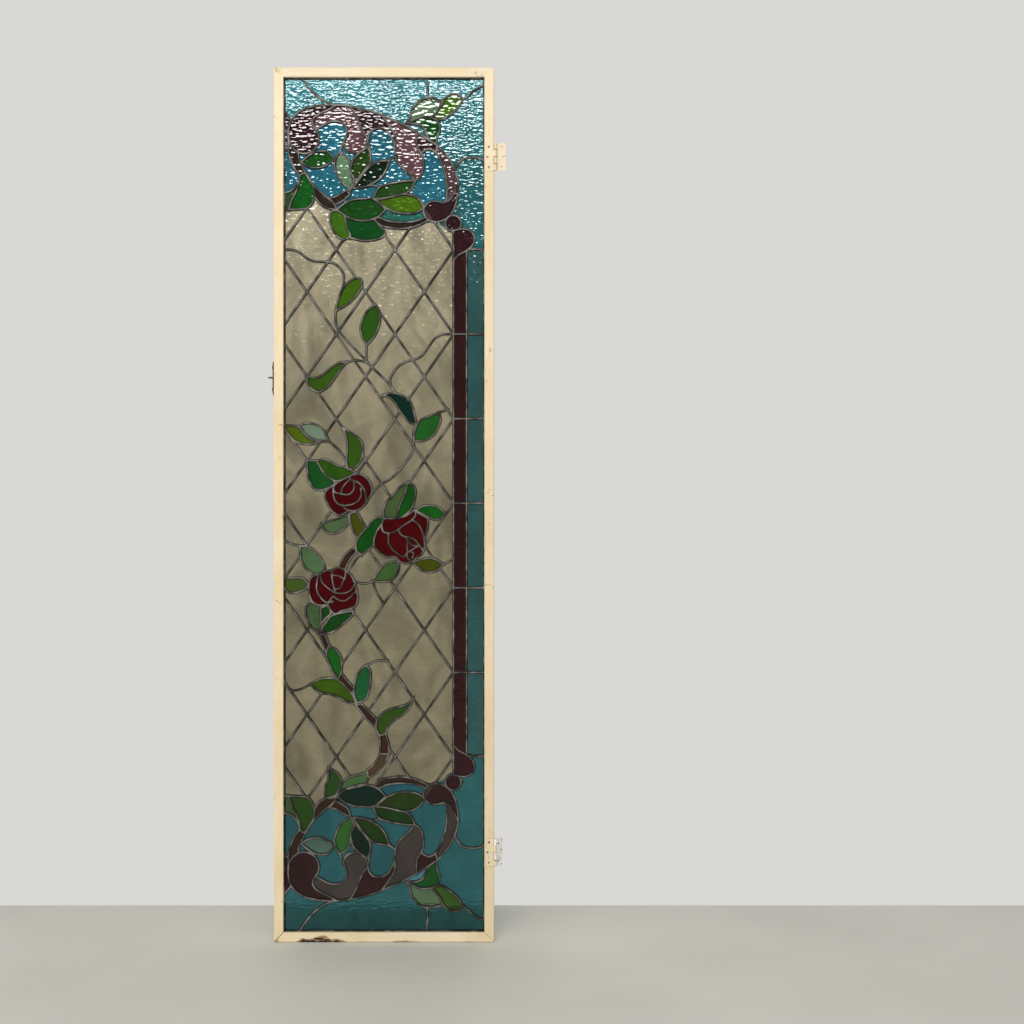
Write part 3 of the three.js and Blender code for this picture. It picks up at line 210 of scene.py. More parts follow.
def turned_over(points: Line) -> Line:
    """The same line in the lower end, which is the upper one turned over."""
    return [(u, MIRROR_V - v) for u, v in points]


ENDS: tuple[Turn, Turn] = (as_drawn, turned_over)  # how the upper and lower end are placed


def within(points: np.ndarray, polygon: Line) -> np.ndarray:
    """Which of many points lie in a closed outline.

    Args:
        points: the points, one to a row.
        polygon: the outline.

    Returns:
        True or False for each point.
    """
    u, v = points[:, 0], points[:, 1]
    odd = np.zeros(len(points), bool)
    for a, b in zip(polygon, polygon[-1:] + polygon[:-1]):
        if a[1] != b[1]:
            meets = (b[0] - a[0]) * (v - a[1]) / (b[1] - a[1]) + a[0]
            odd ^= ((a[1] > v) != (b[1] > v)) & (u < meets)
    return odd


def height_on(line: Line, u: float) -> float:
    """How high a line that runs left to right is at a given place.

    Args:
        line: the line.
        u: the place, across.

    Returns:
        Its v there, or at its nearer end where it doesn't reach.
    """
    for a, b in zip(line, line[1:]):
        if a[0] <= u <= b[0]:
            return a[1] + (b[1] - a[1]) * (u - a[0]) / ((b[0] - a[0]) or 1)
    return line[0][1] if u < line[0][0] else line[-1][1]


def linear(colour: Sequence[float]) -> Colour:
    """Scene-linear colour from an eight-bit one.

    Args:
        colour: red, green and blue, from 0 to 255.

    Returns:
        The same colour, from 0 to 1.
    """
    return tuple(
        (c / 255 / 12.92) if c <= 10 else ((c / 255 + 0.055) / 1.055) ** 2.4 for c in colour
    )


class Cartoon:
    """The full-size drawing of the panel: its pieces' outlines and the lead lines in them."""

    SCROLL = outline(
        run(
            9.5, 1634, 9, 1652, 12, 1667, 18, 1679, 29, 1690, 44, 1698, 63, 1703, 86, 1705.5,
            110, 1705.5, 130, 1704, 152, 1700, 176, 1694, 198, 1686.5, 218, 1677.5, 240, 1668,
            262, 1656, 283, 1643.5, 303, 1631, 318, 1620, 332, 1605, 345, 1587.5, 353, 1570,
            358, 1553, 360, 1535, 358, 1515, 353, 1495, 344, 1478.5, 330, 1467.5, 315, 1464,
            301, 1466.5, 291, 1476, 288, 1487, 292, 1498, 301, 1505, 312, 1507, 329, 1503.5,
        ),
        run(
            329, 1503.5, 335, 1509, 336.5, 1522, 335.5, 1548, 331.5, 1567, 324, 1588, 316, 1604,
            308, 1611.5, 299, 1614.5, 290, 1611, 283, 1606,
        ),
        run(283, 1606, 287, 1598, 288.5, 1585, 287, 1572, 283, 1560, 277, 1552.5, 270.5, 1549),
        run(
            270.5, 1549, 261, 1560, 252, 1569, 242, 1578.5, 234.5, 1588, 231, 1598, 229, 1612,
            228.5, 1622, 223, 1636.5, 215, 1648.5, 204, 1655.5, 192, 1657, 182, 1653.5, 176, 1646,
            173.5, 1636,
        ),
        run(
            173.5, 1636, 171.5, 1626, 167, 1617.5, 159, 1609.5, 149, 1606, 139, 1607, 131, 1611,
            125.5, 1618, 123.5, 1626, 125, 1633.5, 128.5, 1641, 130.5, 1650, 128, 1659.5,
            121.5, 1667, 113, 1671, 102, 1672, 90.5, 1669, 79, 1663, 66, 1655,
        ),
        run(
            66, 1655, 70.5, 1647, 72.5, 1638, 71.5, 1627, 66, 1617, 57, 1609.5, 44, 1605, 31, 1607,
            20, 1614.5, 12.5, 1624.5, 9.5, 1634,
        ),
    )
    SCROLL_LEADS = [
        run(107, 1705, 91, 1695, 79, 1690, 67, 1682.5, 60.5, 1675, 59.5, 1665, 66, 1655),
        run(138, 1702, 145, 1689, 151.5, 1676, 157, 1662, 163, 1648, 173.5, 1636),
        run(202, 1684.5, 211, 1671, 220.5, 1658, 228, 1645, 229.5, 1630, 228.5, 1620),
        run(274, 1649, 273.5, 1630, 275, 1619, 283, 1606),
        run(317, 1621, 313, 1608),
        run(359.5, 1541, 354, 1530, 348, 1517, 340, 1508, 329, 1503.5),
    ]
    # How each of those leads would run on past the scroll, to part what lies on its two sides.
    SCROLL_PARTINGS = [
        [(95, 1600)],
        [],
        [],
        [(296, 1600), (296, 1540)],
        [(300, 1600)],
        [(280, 1503)],
    ]
    EDGE_SLIVER = outline(
        pairs([-6.5, 1612, 9.5, 1617, 9.5, 1634, 9, 1652, 14.5, 1675.5, -6.5, 1697]),
    )
    SMALL_BALL = circle(349.5, 1461, 16.5)
    TEARDROP = outline(
        run(
            350, 1446, 361, 1448.5, 374, 1449.5, 386, 1444.5, 393, 1433, 390.5, 1418, 378, 1405,
            362, 1397, 350, 1385,
        ),
    )
    # Leaves that spring out over the scroll, inside it, and below it.
    SPRIG = {
        "pale": blade(
            [253, 1668], [260, 1681, 265, 1697, 275, 1711, 289, 1719, 303, 1720], [328, 1714],
            [324, 1704, 315, 1690, 303, 1680, 285, 1681],
        ),
        "light": blade(
            [305, 1679], [315, 1690, 324, 1704, 333, 1720, 346, 1727.5, 359, 1727], [370, 1717.5],
            [360, 1701, 346, 1687.5, 322, 1674.5],
        ),
        "hook": blade(
            [252, 1668], [266, 1675.5, 285, 1680.5, 303, 1679, 317, 1672, 322.5, 1659, 317, 1642],
            [314, 1625], [303, 1629.5, 293.5, 1646, 285, 1661.5, 275, 1666],
        ),
    }
    HOOK_GAP = outline(
        pairs(
            [262, 1656, 264, 1663, 275, 1666, 285, 1661.5, 293.5, 1646, 303, 1629.5, 283, 1643.5],
        ),
    )
    INNER_LEAVES = {
        "forest": blade(
            [36, 1588], [47, 1597.5, 62, 1607, 76, 1610.5, 90, 1609], [104, 1594.5],
            [88, 1581, 67, 1575.5, 47, 1580],
        ),
        "sage": blade(
            [138, 1532.5], [119, 1546, 108.5, 1564.5, 104, 1581, 106.5, 1594], [115, 1609.5],
            [130, 1599.5, 137, 1586, 138, 1566, 144, 1549],
        ),
        "olive": blade(
            [148, 1545], [141, 1563, 139.5, 1578, 142, 1591, 151, 1602.5], [172.5, 1618.5],
            [178.5, 1603, 178, 1587, 168, 1572, 157, 1559],
        ),
        "night": blade(
            [142, 1533.5], [159, 1557, 174, 1576, 190, 1587], [218, 1591.5],
            [212, 1574, 201, 1556, 183, 1543.5, 164, 1536],
        ),
        "upperTwin": blade(
            [184, 1511.5], [188, 1521, 197, 1536, 213, 1541.5, 231, 1545.5, 250, 1548.5],
            [270.5, 1549], [265, 1535, 255, 1525, 239, 1520, 213, 1514],
        ),
        "lowerTwin": blade(
            [192, 1509.5], [213, 1514, 239, 1520, 255, 1521, 271, 1516.5, 282, 1508], [289, 1495],
            [281, 1487, 265, 1481.5, 246, 1481.5, 228, 1485, 208, 1494.5],
        ),
        "broad": blade(
            [109, 1489], [125, 1502, 144, 1510, 165, 1512, 184, 1511.5, 197, 1503], [210, 1490],
            [199, 1478, 186, 1470.5, 170, 1466.5, 148.5, 1468, 127.5, 1476],
        ),
    }
    EDGE_LEAF = outline(
        run(33, 1558.5, 39, 1564.5, 46, 1563),
        run(46, 1563, 52, 1552, 60, 1539, 63.5, 1525, 61.5, 1510, 54, 1497, 47.5, 1491.5),
        run(47.5, 1491.5, 28, 1490, 9.5, 1489.5),
        run(9.5, 1489.5, 16, 1509, 26.5, 1530, 32, 1546, 33, 1558.5),
    )
    UPPER_HANGING = {
        "left": blade(
            [122, 1426.5], [111, 1433.5, 98, 1454, 94.5, 1470, 98, 1485], [109, 1489],
            [124, 1478, 127, 1466, 130.5, 1451, 137, 1435],
        ),
        "right": outline(
            run(137, 1431.5, 130.5, 1451, 127, 1466, 127.5, 1476),
            run(127.5, 1476, 148.5, 1468, 170, 1466.5, 186, 1470.5),
            run(186, 1470.5, 197, 1456, 206, 1448, 209.5, 1438.5),
            run(209.5, 1438.5, 199, 1431, 180.5, 1426, 159, 1426, 137, 1431.5),
        ),
    }
    LOWER_HANGING = {
        "left": blade(
            [94, 275], [85.5, 279, 84.5, 288, 86, 301, 92, 317], [91.5, 338],
            [106, 329.5, 117, 317, 116, 303, 110, 286, 103, 276],
        ),
        "right": blade(
            [115, 291], [121, 306, 131, 316.5, 149, 322], [173, 328],
            [174, 316, 169, 305, 157, 299.5, 136, 295.5],
        ),
    }
    BAND = outline(
        run(186, 1470.5, 196, 1473, 212, 1466.5, 239, 1463, 265, 1464.5, 287, 1470.5, 294, 1474),
        run(297, 1467, 281, 1458.5, 260, 1452, 239, 1450, 217.5, 1452.5, 199, 1457.5, 186, 1470.5),
    )
    BRANCH_LEADS = [
        run(10, 1632, 9, 1611, 14, 1591, 21, 1575.5, 33, 1558.5),
        run(29.5, 1607, 31, 1594, 37, 1581, 46, 1563, 61, 1541, 77, 1525, 90, 1513.5),
        run(63.5, 1535, 64, 1517, 74, 1502, 88, 1493, 109, 1489),
        run(90, 1513.5, 101, 1505, 109, 1489),
        run(138, 1532.5, 125, 1527, 114, 1519.5, 101, 1514.5, 90, 1513.5),
        run(138, 1532.5, 133, 1517, 122, 1508, 105, 1499),
    ]
    INNER_LEADS = [
        run(0, 1524, 13, 1527.5, 24, 1536.5, 32, 1549),
        run(0, 1488, 9.5, 1489.5),
        run(36, 1588, 50, 1600, 62, 1610),
        run(124.5, 1631, 120, 1622, 115, 1609.5),
        run(106.5, 1594, 104, 1594.5),
        run(173, 1630, 177, 1618, 178.5, 1603),
        run(218, 1591.5, 230.5, 1600),
        run(172, 1538, 184, 1539.5, 197, 1536),
        run(0, 1694, 14.5, 1676),
        run(0, 1612, 10, 1617),
    ]
    SKY_LEADS = [
        run(35, 1764, 43, 1752, 55, 1737, 71, 1722, 88, 1711.5, 104, 1705.5),
        run(294.5, 1764, 297, 1741, 296, 1719.5),
        run(368, 1715.5, 377, 1722, 388, 1732, 401, 1741, 416, 1748.5),
        run(352.5, 1572, 358, 1582, 366, 1591, 377, 1596, 398, 1597, 410, 1592, 417, 1586),
        run(384, 1407.5, 417, 1407.5),
    ]
    # The middle of the panel: leaves, branches, roses and tendrils on the trellis.
    MIDDLE_LEAVES = {
        "bud": blade(
            [107.5, 1281], [110, 1297.5, 115.5, 1313.5, 123.5, 1331, 134, 1341], [148, 1350],
            [159.5, 1346, 161, 1334, 154, 1318.5, 138, 1300, 119.5, 1287],
        ),
        "drop": blade(
            [170, 1210], [161.5, 1226, 158, 1244.5, 162, 1263, 172, 1281], [188.5, 1294],
            [196.5, 1279, 198.5, 1260, 193.5, 1241.5, 183, 1223],
        ),
        "wave": blade(
            [47.5, 1146], [57, 1143.5, 69, 1143.5, 82, 1151, 98, 1164, 114, 1173.5], [130, 1175],
            [120, 1164, 110, 1150, 98.5, 1132.5, 85, 1119, 70.5, 1113.5, 56, 1120.5, 48.5, 1132.5],
        ),
        "spruce": blade(
            [206, 1106.5],
            [216, 1110, 230, 1110.5, 244, 1106, 258.5, 1096.5, 265.5, 1082, 270.5, 1063],
            [273, 1046], [260, 1050, 249.5, 1060.5, 239, 1074, 231, 1088.5, 221, 1100],
        ),
        "fresh": blade(
            [268.5, 1012], [269.5, 1029, 274, 1045, 284, 1056.5, 302.5, 1064.5], [319.5, 1070.5],
            [323.5, 1060, 318.5, 1040, 308, 1023.5, 293, 1014, 279, 1011.5],
        ),
        "moss": blade(
            [-3, 1045], [16, 1044, 30.5, 1041.5, 38, 1032, 53, 1016], [71, 1010.5],
            [61, 1006, 40, 1006, 23, 1011.5, 10, 1026],
        ),
        "mist": blade(
            [30.5, 1041.5], [40, 1047.5, 53, 1049, 69, 1044.5, 84, 1032.5], [93, 1011.5],
            [75, 1013, 56, 1018, 41, 1029],
        ),
        "crescent": blade(
            [133, 953], [129.5, 963, 130, 984, 131.5, 1005, 127.5, 1023.5], [122, 1040],
            [138, 1029, 154, 1018, 162.5, 1004, 162, 984, 156.5, 968, 146, 957],
        ),
        "hollow": blade(
            [47.5, 972], [48, 952, 53, 928, 61, 915, 74, 910.5, 90, 914.5], [106, 924],
            [103, 930.5, 88, 939.5, 77, 954.5, 66.5, 970.5],
        ),
        "ridge": blade(
            [66.5, 970.5], [82, 975, 95.5, 969.5, 111.5, 961, 130, 956.5], [149, 946],
            [133, 937, 117, 930.5, 103, 930.5, 88, 939.5, 77, 954.5],
        ),
        "lichen": outline(
            run(205.5, 853, 205.5, 869, 210, 884.5, 218.5, 894, 228, 905, 240, 918, 256, 927),
            run(256, 927, 250, 905, 240.5, 882, 231, 853),
        ),
        "emerald": blade(
            [231, 853], [240.5, 882, 250, 905], [256, 927],
            [268, 920, 272, 906.5, 269.5, 890.5, 265.5, 876, 254.5, 863, 240, 854.5],
        ),
        "fern": blade(
            [270.5, 867.5], [284, 876.5, 302.5, 879, 318.5, 875.5], [332, 863.5],
            [324, 853, 310.5, 849.5, 295, 856.5, 282, 863.5],
        ),
        "autumn": blade(
            [265.5, 762.5], [281, 766.5, 302.5, 770.5, 316, 766.5], [329.5, 757.5],
            [318.5, 745.5, 302.5, 741, 286.5, 744, 274, 752],
        ),
        "dusk": blade(
            [183, 722.5], [188.5, 733.5, 201.5, 752, 217.5, 762.5], [236.5, 763.5],
            [237.5, 749, 231, 733.5, 220.5, 724, 207, 721.5],
        ),
        "bright": blade(
            [159.5, 776],
            [151, 784, 148.5, 799, 154, 813, 164.5, 826.5, 176.5, 837.5, 183, 849, 191.5, 854.5],
            [205, 853.5], [202, 840, 194, 827, 187.5, 811, 184, 797, 172.5, 786.5],
        ),
        "narrow": blade(
            [152.5, 810], [143.5, 826.5, 136.5, 845], [135.5, 862],
            [148.5, 865.5, 159.5, 850, 167.5, 831],
        ),
        "grey": blade(
            [77, 841], [90, 846, 111.5, 851.5], [133.5, 860.5],
            [132.5, 842, 122, 830, 106, 821, 93, 822, 82, 830.5],
        ),
        "shade": blade(
            [33, 794], [34.5, 770.5, 42.5, 752], [58, 737.5],
            [72, 738.5, 84.5, 747, 77, 768, 64, 784, 48, 794],
        ),
        "verge": blade(
            [-3, 715], [3, 727, 21, 730, 40, 728], [51, 715], [44, 706, 26.5, 699.5, 9, 700],
        ),
        "drab": blade(
            [70.5, 616.5], [53, 630, 46.5, 646, 45, 667], [54, 682],
            [69, 673, 75.5, 661, 75.5, 635],
        ),
        "inner": blade([77.5, 636], [76, 650], [76.5, 668], [91, 671, 96.5, 656, 86, 646]),
        "lance": blade(
            [79, 619], [87.5, 638, 98, 651, 117, 657], [144, 662],
            [140.5, 651, 119.5, 632.5, 103.5, 619.5, 90, 615.5],
        ),
        "jade": blade(
            [111.5, 520], [101, 534, 93, 552.5, 87.5, 571], [92, 588.5],
            [106, 582, 117, 568.5, 119.5, 555, 118, 534],
        ),
        "willow": blade(
            [54.5, 510], [71.5, 519.5, 90, 523, 106, 522, 117, 515.5, 130, 502, 143, 486],
            [149, 470], [132.5, 473, 111.5, 483.5, 93, 490, 77, 491.5, 64, 500.5],
        ),
        "reed": blade(
            [151, 472], [145, 487, 145, 500, 147, 516, 154, 534, 162, 544.5], [171, 549],
            [178.5, 537, 178.5, 518, 175, 494, 167.5, 478],
        ),
        "crest": blade(
            [197, 404], [190, 420, 192, 436, 202, 449, 218, 458.5, 239, 463.5, 254.5, 469],
            [266, 480], [261, 465, 249.5, 450.5, 228.5, 436, 215, 422.5, 209.5, 409],
        ),
    }
    BRANCHES = {
        "upper": outline(
            run(112, 751, 122, 771, 133, 784, 147, 792),
            run(151, 783, 140.5, 773, 132.5, 760, 126, 746),
        ),
        "second": outline(run(87, 577, 80, 595, 73, 614), run(86, 612, 90.5, 598, 95, 587)),
        "third": outline(
            run(113.5, 519, 127.5, 505.5, 141, 491),
            run(145, 501.5, 130, 518, 119, 533),
        ),
        "fourth": outline(
            run(149, 467, 164.5, 446.5, 180.5, 429, 189, 421),
            run(192, 436, 183, 446.5, 170, 459.5, 160, 470),
        ),
        "fifth": outline(
            run(196.5, 403, 199.5, 383, 199, 366.5),
            run(217, 366.5, 216, 388, 210, 408),
        ),
        "root": outline(
            run(199, 366.5, 196, 361, 186, 345.5, 171, 331.5),
            run(173.5, 316, 180.5, 320, 196.5, 332.5, 210, 351, 217, 366.5),
        ),
    }
    ROSES = {
        "upper": {
            "edge": outline(
                run(88, 911, 105, 922, 119.5, 932, 135.5, 939),
                run(
                    135.5, 939, 149, 944.5, 164.5, 941, 175.5, 930.5, 182, 914.5, 181.5, 904,
                    174, 892, 170, 885, 159, 873, 146, 867.5, 133, 868.5,
                ),
                run(
                    133, 868.5, 124.5, 862, 111.5, 859, 98, 869, 89, 884.5, 85, 894, 84.5, 904,
                    88, 911,
                ),
            ),
            "leads": [
                run(
                    118, 903, 120.5, 914.5, 129, 926, 136, 932, 143, 931, 145.5, 922, 143, 909,
                    132.5, 901.5, 118, 903,
                ),
                run(135.5, 939, 136, 932, 151, 928, 162, 918.5, 168.5, 904, 170, 885),
                run(105, 922, 102, 914, 106, 906, 118, 903),
                run(
                    102, 914, 102, 901, 106, 888.5, 114, 881, 127.5, 879, 143, 882, 154, 889,
                    159, 899, 159, 914,
                ),
                run(121, 879.5, 127, 872, 133, 868.5),
            ],
        },
        "right": {
            "edge": outline(
                run(270, 870, 281, 861, 297.5, 853),
                run(
                    297.5, 853, 297, 837, 293, 818, 289.5, 810.5, 291, 794.5, 284, 778.5,
                    273.5, 770.5, 265.5, 762.5,
                ),
                run(
                    265.5, 762.5, 249.5, 759.5, 237.5, 765, 231, 773, 212.5, 772, 199, 780,
                    188.5, 792, 185.5, 805, 191, 824, 201.5, 840, 207, 851, 228, 852, 247, 855.5,
                    260, 863, 270, 870,
                ),
            ),
            "leads": [
                run(
                    202, 840, 204.5, 826, 215, 821.5, 231, 826, 247, 838, 265, 849.5, 272, 860,
                    270, 870,
                ),
                run(265, 849.5, 276, 842, 284, 829, 289.5, 811),
                run(236, 828, 244, 817, 260, 813, 271, 807.5, 279, 797, 287, 787),
                run(216, 821, 216, 802.5, 223, 789, 236, 778.5, 247, 773, 256, 784),
                run(252, 813, 256, 806, 265, 797, 276, 795),
                run(256, 806, 254.5, 797, 256, 784, 265, 788, 274, 793),
                run(256, 784, 254, 773, 263, 763),
                run(256, 784, 268, 781, 265.5, 772),
            ],
        },
        "lower": {
            "edge": outline(
                run(
                    114, 751, 127.5, 745.5, 138, 736, 146, 720, 151, 699, 152.5, 685.5, 146, 670,
                    132.5, 664.5, 119.5, 662, 106, 655, 95.5, 664.5, 90, 675,
                ),
                run(
                    90, 675, 77, 672.5, 61, 678, 53, 693.5, 51.5, 715, 57, 731, 74.5, 738,
                    87.5, 744.5, 100, 744.5,
                ),
                run(100, 744.5, 107, 750, 114, 751),
            ),
            "leads": [
                run(100, 744.5, 99, 735, 101, 720, 105, 704, 106, 699),
                run(74.5, 738, 79.5, 720, 93, 707, 106, 699, 119.5, 697.5, 135.5, 702, 145.5, 714),
                run(70.5, 735, 67.5, 707, 74.5, 691, 87.5, 679, 99.5, 680.5),
                run(99, 735, 114, 733.5, 125, 728, 127.5, 745),
                run(105, 706, 117, 709.5, 121, 720, 125, 728),
                run(90, 675, 102, 691, 112, 684.5, 125, 682, 138, 691, 150, 703),
            ],
        },
    }
    TENDRILS = [
        run(
            0, 1407.5, 16, 1407, 32, 1401.5, 45, 1390.5, 58.5, 1384, 74.5, 1382, 90, 1382,
            103.5, 1378.5, 114, 1370.5, 121, 1361, 123.5, 1350, 123.5, 1331,
        ),
        run(
            107.5, 1281, 106, 1265.5, 107.5, 1252, 112, 1241, 127.5, 1221, 146, 1202, 164.5, 1183.5,
            183, 1163, 201.5, 1145.5, 217.5, 1129.5, 230, 1111,
        ),
        run(170, 1210, 170, 1176),
        run(130, 1175, 146, 1179, 159, 1177.5, 171, 1174, 181, 1165),
        run(
            350, 1233.5, 324, 1231, 310.5, 1223, 300, 1208.5, 289, 1193, 279, 1184, 265.5, 1180,
            249.5, 1175, 233.5, 1164, 223, 1149.5, 219, 1138, 219, 1128,
        ),
        run(200.5, 1102, 206, 1106.5),
        run(238, 1071, 229, 1059.5),
        run(
            273, 1046, 267.5, 1031.5, 267, 1010, 266.5, 994.5, 260, 981, 247, 962.5, 233.5, 946.5,
            217.5, 932, 201.5, 924, 190, 914, 182, 906,
        ),
        run(319.5, 1070.5, 338, 1077.5),
        run(93, 1011.5, 106, 1000, 117, 989, 125, 975.5, 129, 962.5, 130, 955),
        run(71, 1010.5, 93, 1011.5),
        run(162.5, 983, 168.5, 972.5),
        run(0, 808, 13, 800, 29, 796.5, 47.5, 796.5),
        run(146, 722, 164.5, 717.5, 183, 721),
        run(183, 722.5, 191, 699, 204, 679),
        run(329.5, 757.5, 340, 762.5, 350, 768),
        run(54.5, 510, 40, 502, 26.5, 497.5, 14.5, 497),
        run(171, 549, 186, 556.5, 201.5, 559, 213, 558),
    ]

    GARDEN = pairs(
        [
            -6.5, 1487, 14, 1489, 40, 1490, 55, 1500, 63, 1520, 72, 1505, 90, 1490, 108, 1480,
            130, 1470, 190, 1460, 240, 1456, 285, 1463, 310, 1485, 345, 1490, 348, 1540, 330, 1590,
            310, 1617, 250, 1640, 200, 1670, 120, 1690, 60, 1650, 20, 1650, 5, 1640, -6.5, 1612,
        ],
    )
    TRELLIS_TOP = pairs(
        [
            0, 1489, 48, 1491, 62, 1512, 64, 1538, 80, 1505, 108, 1489, 120, 1478, 190, 1468,
            240, 1452, 300, 1464, 330, 1455, 350, 1440,
        ],
    )
    TRELLIS_FIELD = pairs(
        [
            -6.5, 1489, 30, 1491, 47.5, 1494.5, 76, 1501, 112, 1484, 150, 1450, 200, 1455,
            240, 1457, 285, 1463, 312, 1472, 350, 1461, 350, 308, 312, 297, 285, 306, 240, 312,
            200, 314, 150, 312, 112, 285, 76, 268, 47.5, 274.5, 30, 278, -6.5, 280,
        ],
    )
    TWIG = outline(
        run(138, 1532.5, 125, 1527, 114, 1519.5, 101, 1514.5, 90, 1513.5),
        run(101, 1505, 105, 1499, 122, 1508, 133, 1517, 138, 1532.5),
    )
    SIDE_STEM = outline(
        run(10, 1632, 9, 1611, 14, 1591, 21, 1575.5, 33, 1558.5),
        run(46, 1563, 37, 1581, 31, 1594, 29.5, 1607, 20, 1614.5, 12.5, 1624.5, 10, 1632),
    )
    CORNER_LEAF = pairs(
        [-6.5, 1489, 9.5, 1489.5, 16, 1509, 26.5, 1530, 30, 1546, 22, 1534, 10, 1527, -6.5, 1524],
    )
    SHADED_POOL = pairs(
        [
            199, 1503, 208, 1494.5, 228, 1485, 246, 1481.5, 265, 1481.5, 281, 1487, 291, 1480,
            287, 1468, 240, 1461, 212, 1464, 190, 1473,
        ],
    )
    TOP_BRANCH = outline(
        run(63.5, 1537, 64, 1517, 74, 1502, 88, 1493, 109, 1489),
        run(109, 1489, 101, 1505, 90, 1513.5, 77, 1525, 63.5, 1537),
    )


class Family(Enum):
    """Kinds of glass, each one object and one finish."""

    SKY = "sky_glass"
    GARDEN = "garden_glass"
    PLUM = "plum_glass"
    LEAF = "leaf_glass"
    ROSE = "rose_glass"
    BARK = "branch_glass"
    QUARRY = "trellis_glass_panes"


# ---- Meshes and objects ----
@dataclass(frozen=True)
class Place:
    """Where the panel stands in the window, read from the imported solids."""

    left: float
    foot: float
    lead: tuple[float, float]
    glass: tuple[float, float]

    @classmethod
    def from_frame(cls) -> "Place":
        """The panel's place, from the frame members, the lead net and the glass.

        Returns:
            The place, in metres.
        """
        stile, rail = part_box("frame_catch_stile"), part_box("frame_bottom_rail")
        face = stile[1].x - stile[0].x
        lead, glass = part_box("lead_cames"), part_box("trellis_glass")
        depths = (lead[0].y, lead[1].y), (glass[0].y, glass[1].y)
        return cls(stile[0].x + face, rail[0].z + face, *depths)

    def behind(self, gap: float) -> float:
        """The depth at a gap behind the glass, given in millimetres."""
        return self.glass[1] + gap * MM

    def stand(self, mesh: bpy.types.Mesh, y: float, faces_front: bool = True) -> None:
        """Stands a flat mesh (u, v in millimetres, height up) in the window at a depth.

        Args:
            mesh: the mesh, with its height along its own z.
            y: depth of its flat side.
            faces_front: whether its height points to the viewer.
        """
        way = -1.0 if faces_front else 1.0
        mesh.transform(
            Matrix(
                (
                    (MM, 0, 0, self.left),
                    (0, 0, way * MM, y),
                    (0, MM, 0, self.foot),
                    (0, 0, 0, 1),
                )
            )
        )
        if not faces_front:
            mesh.flip_normals()


def linked(name: str, data: bpy.types.ID) -> bpy.types.Object:
    """An object in the scene.

    Args:
        name: its name.
        data: the mesh, curve, light or camera that it holds.

    Returns:
        The object.
    """
    piece = bpy.data.objects.new(name, data)
    bpy.context.scene.collection.objects.link(piece)
    return piece


def as_mesh(bm: bmesh.types.BMesh, name: str) -> bpy.types.Mesh:
    """Ends the work on a shape.

    Args:
        bm: the shape.
        name: name of its mesh.

    Returns:
        The mesh.
    """
    mesh = bpy.data.meshes.new(name)
    bm.to_mesh(mesh)
    bm.free()
    return mesh


def add_polyline(curve: bpy.types.Curve, points: Line) -> bpy.types.Spline:
    """Draws a polyline on a flat curve.

    Args:
        curve: the curve.
        points: the polyline.

    Returns:
        The new spline.
    """
    spline = curve.splines.new("POLY")
    spline.points.add(len(points) - 1)
    for point, (x, y) in zip(spline.points, points):
        point.co = (x, y, 0, 1)
    return spline


def redress(node: bpy.types.Object, material: bpy.types.Material) -> None:
    """Gives an object one finish in place of those it had.

    Args:
        node: the object.
        material: its finish.
    """
    node.data.materials.clear()
    node.data.materials.append(material)


def ride_on_sash(
    name: str, mesh: bpy.types.Mesh, material: bpy.types.Material
) -> bpy.types.Object:
    """A finished piece of the sash.

    Args:
        name: the piece's name.
        mesh: its mesh, already in place.
        material: its finish.

    Returns:
        The object.
    """
    piece = linked(name, mesh)
    redress(piece, material)
    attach(piece, SASH)
    return piece


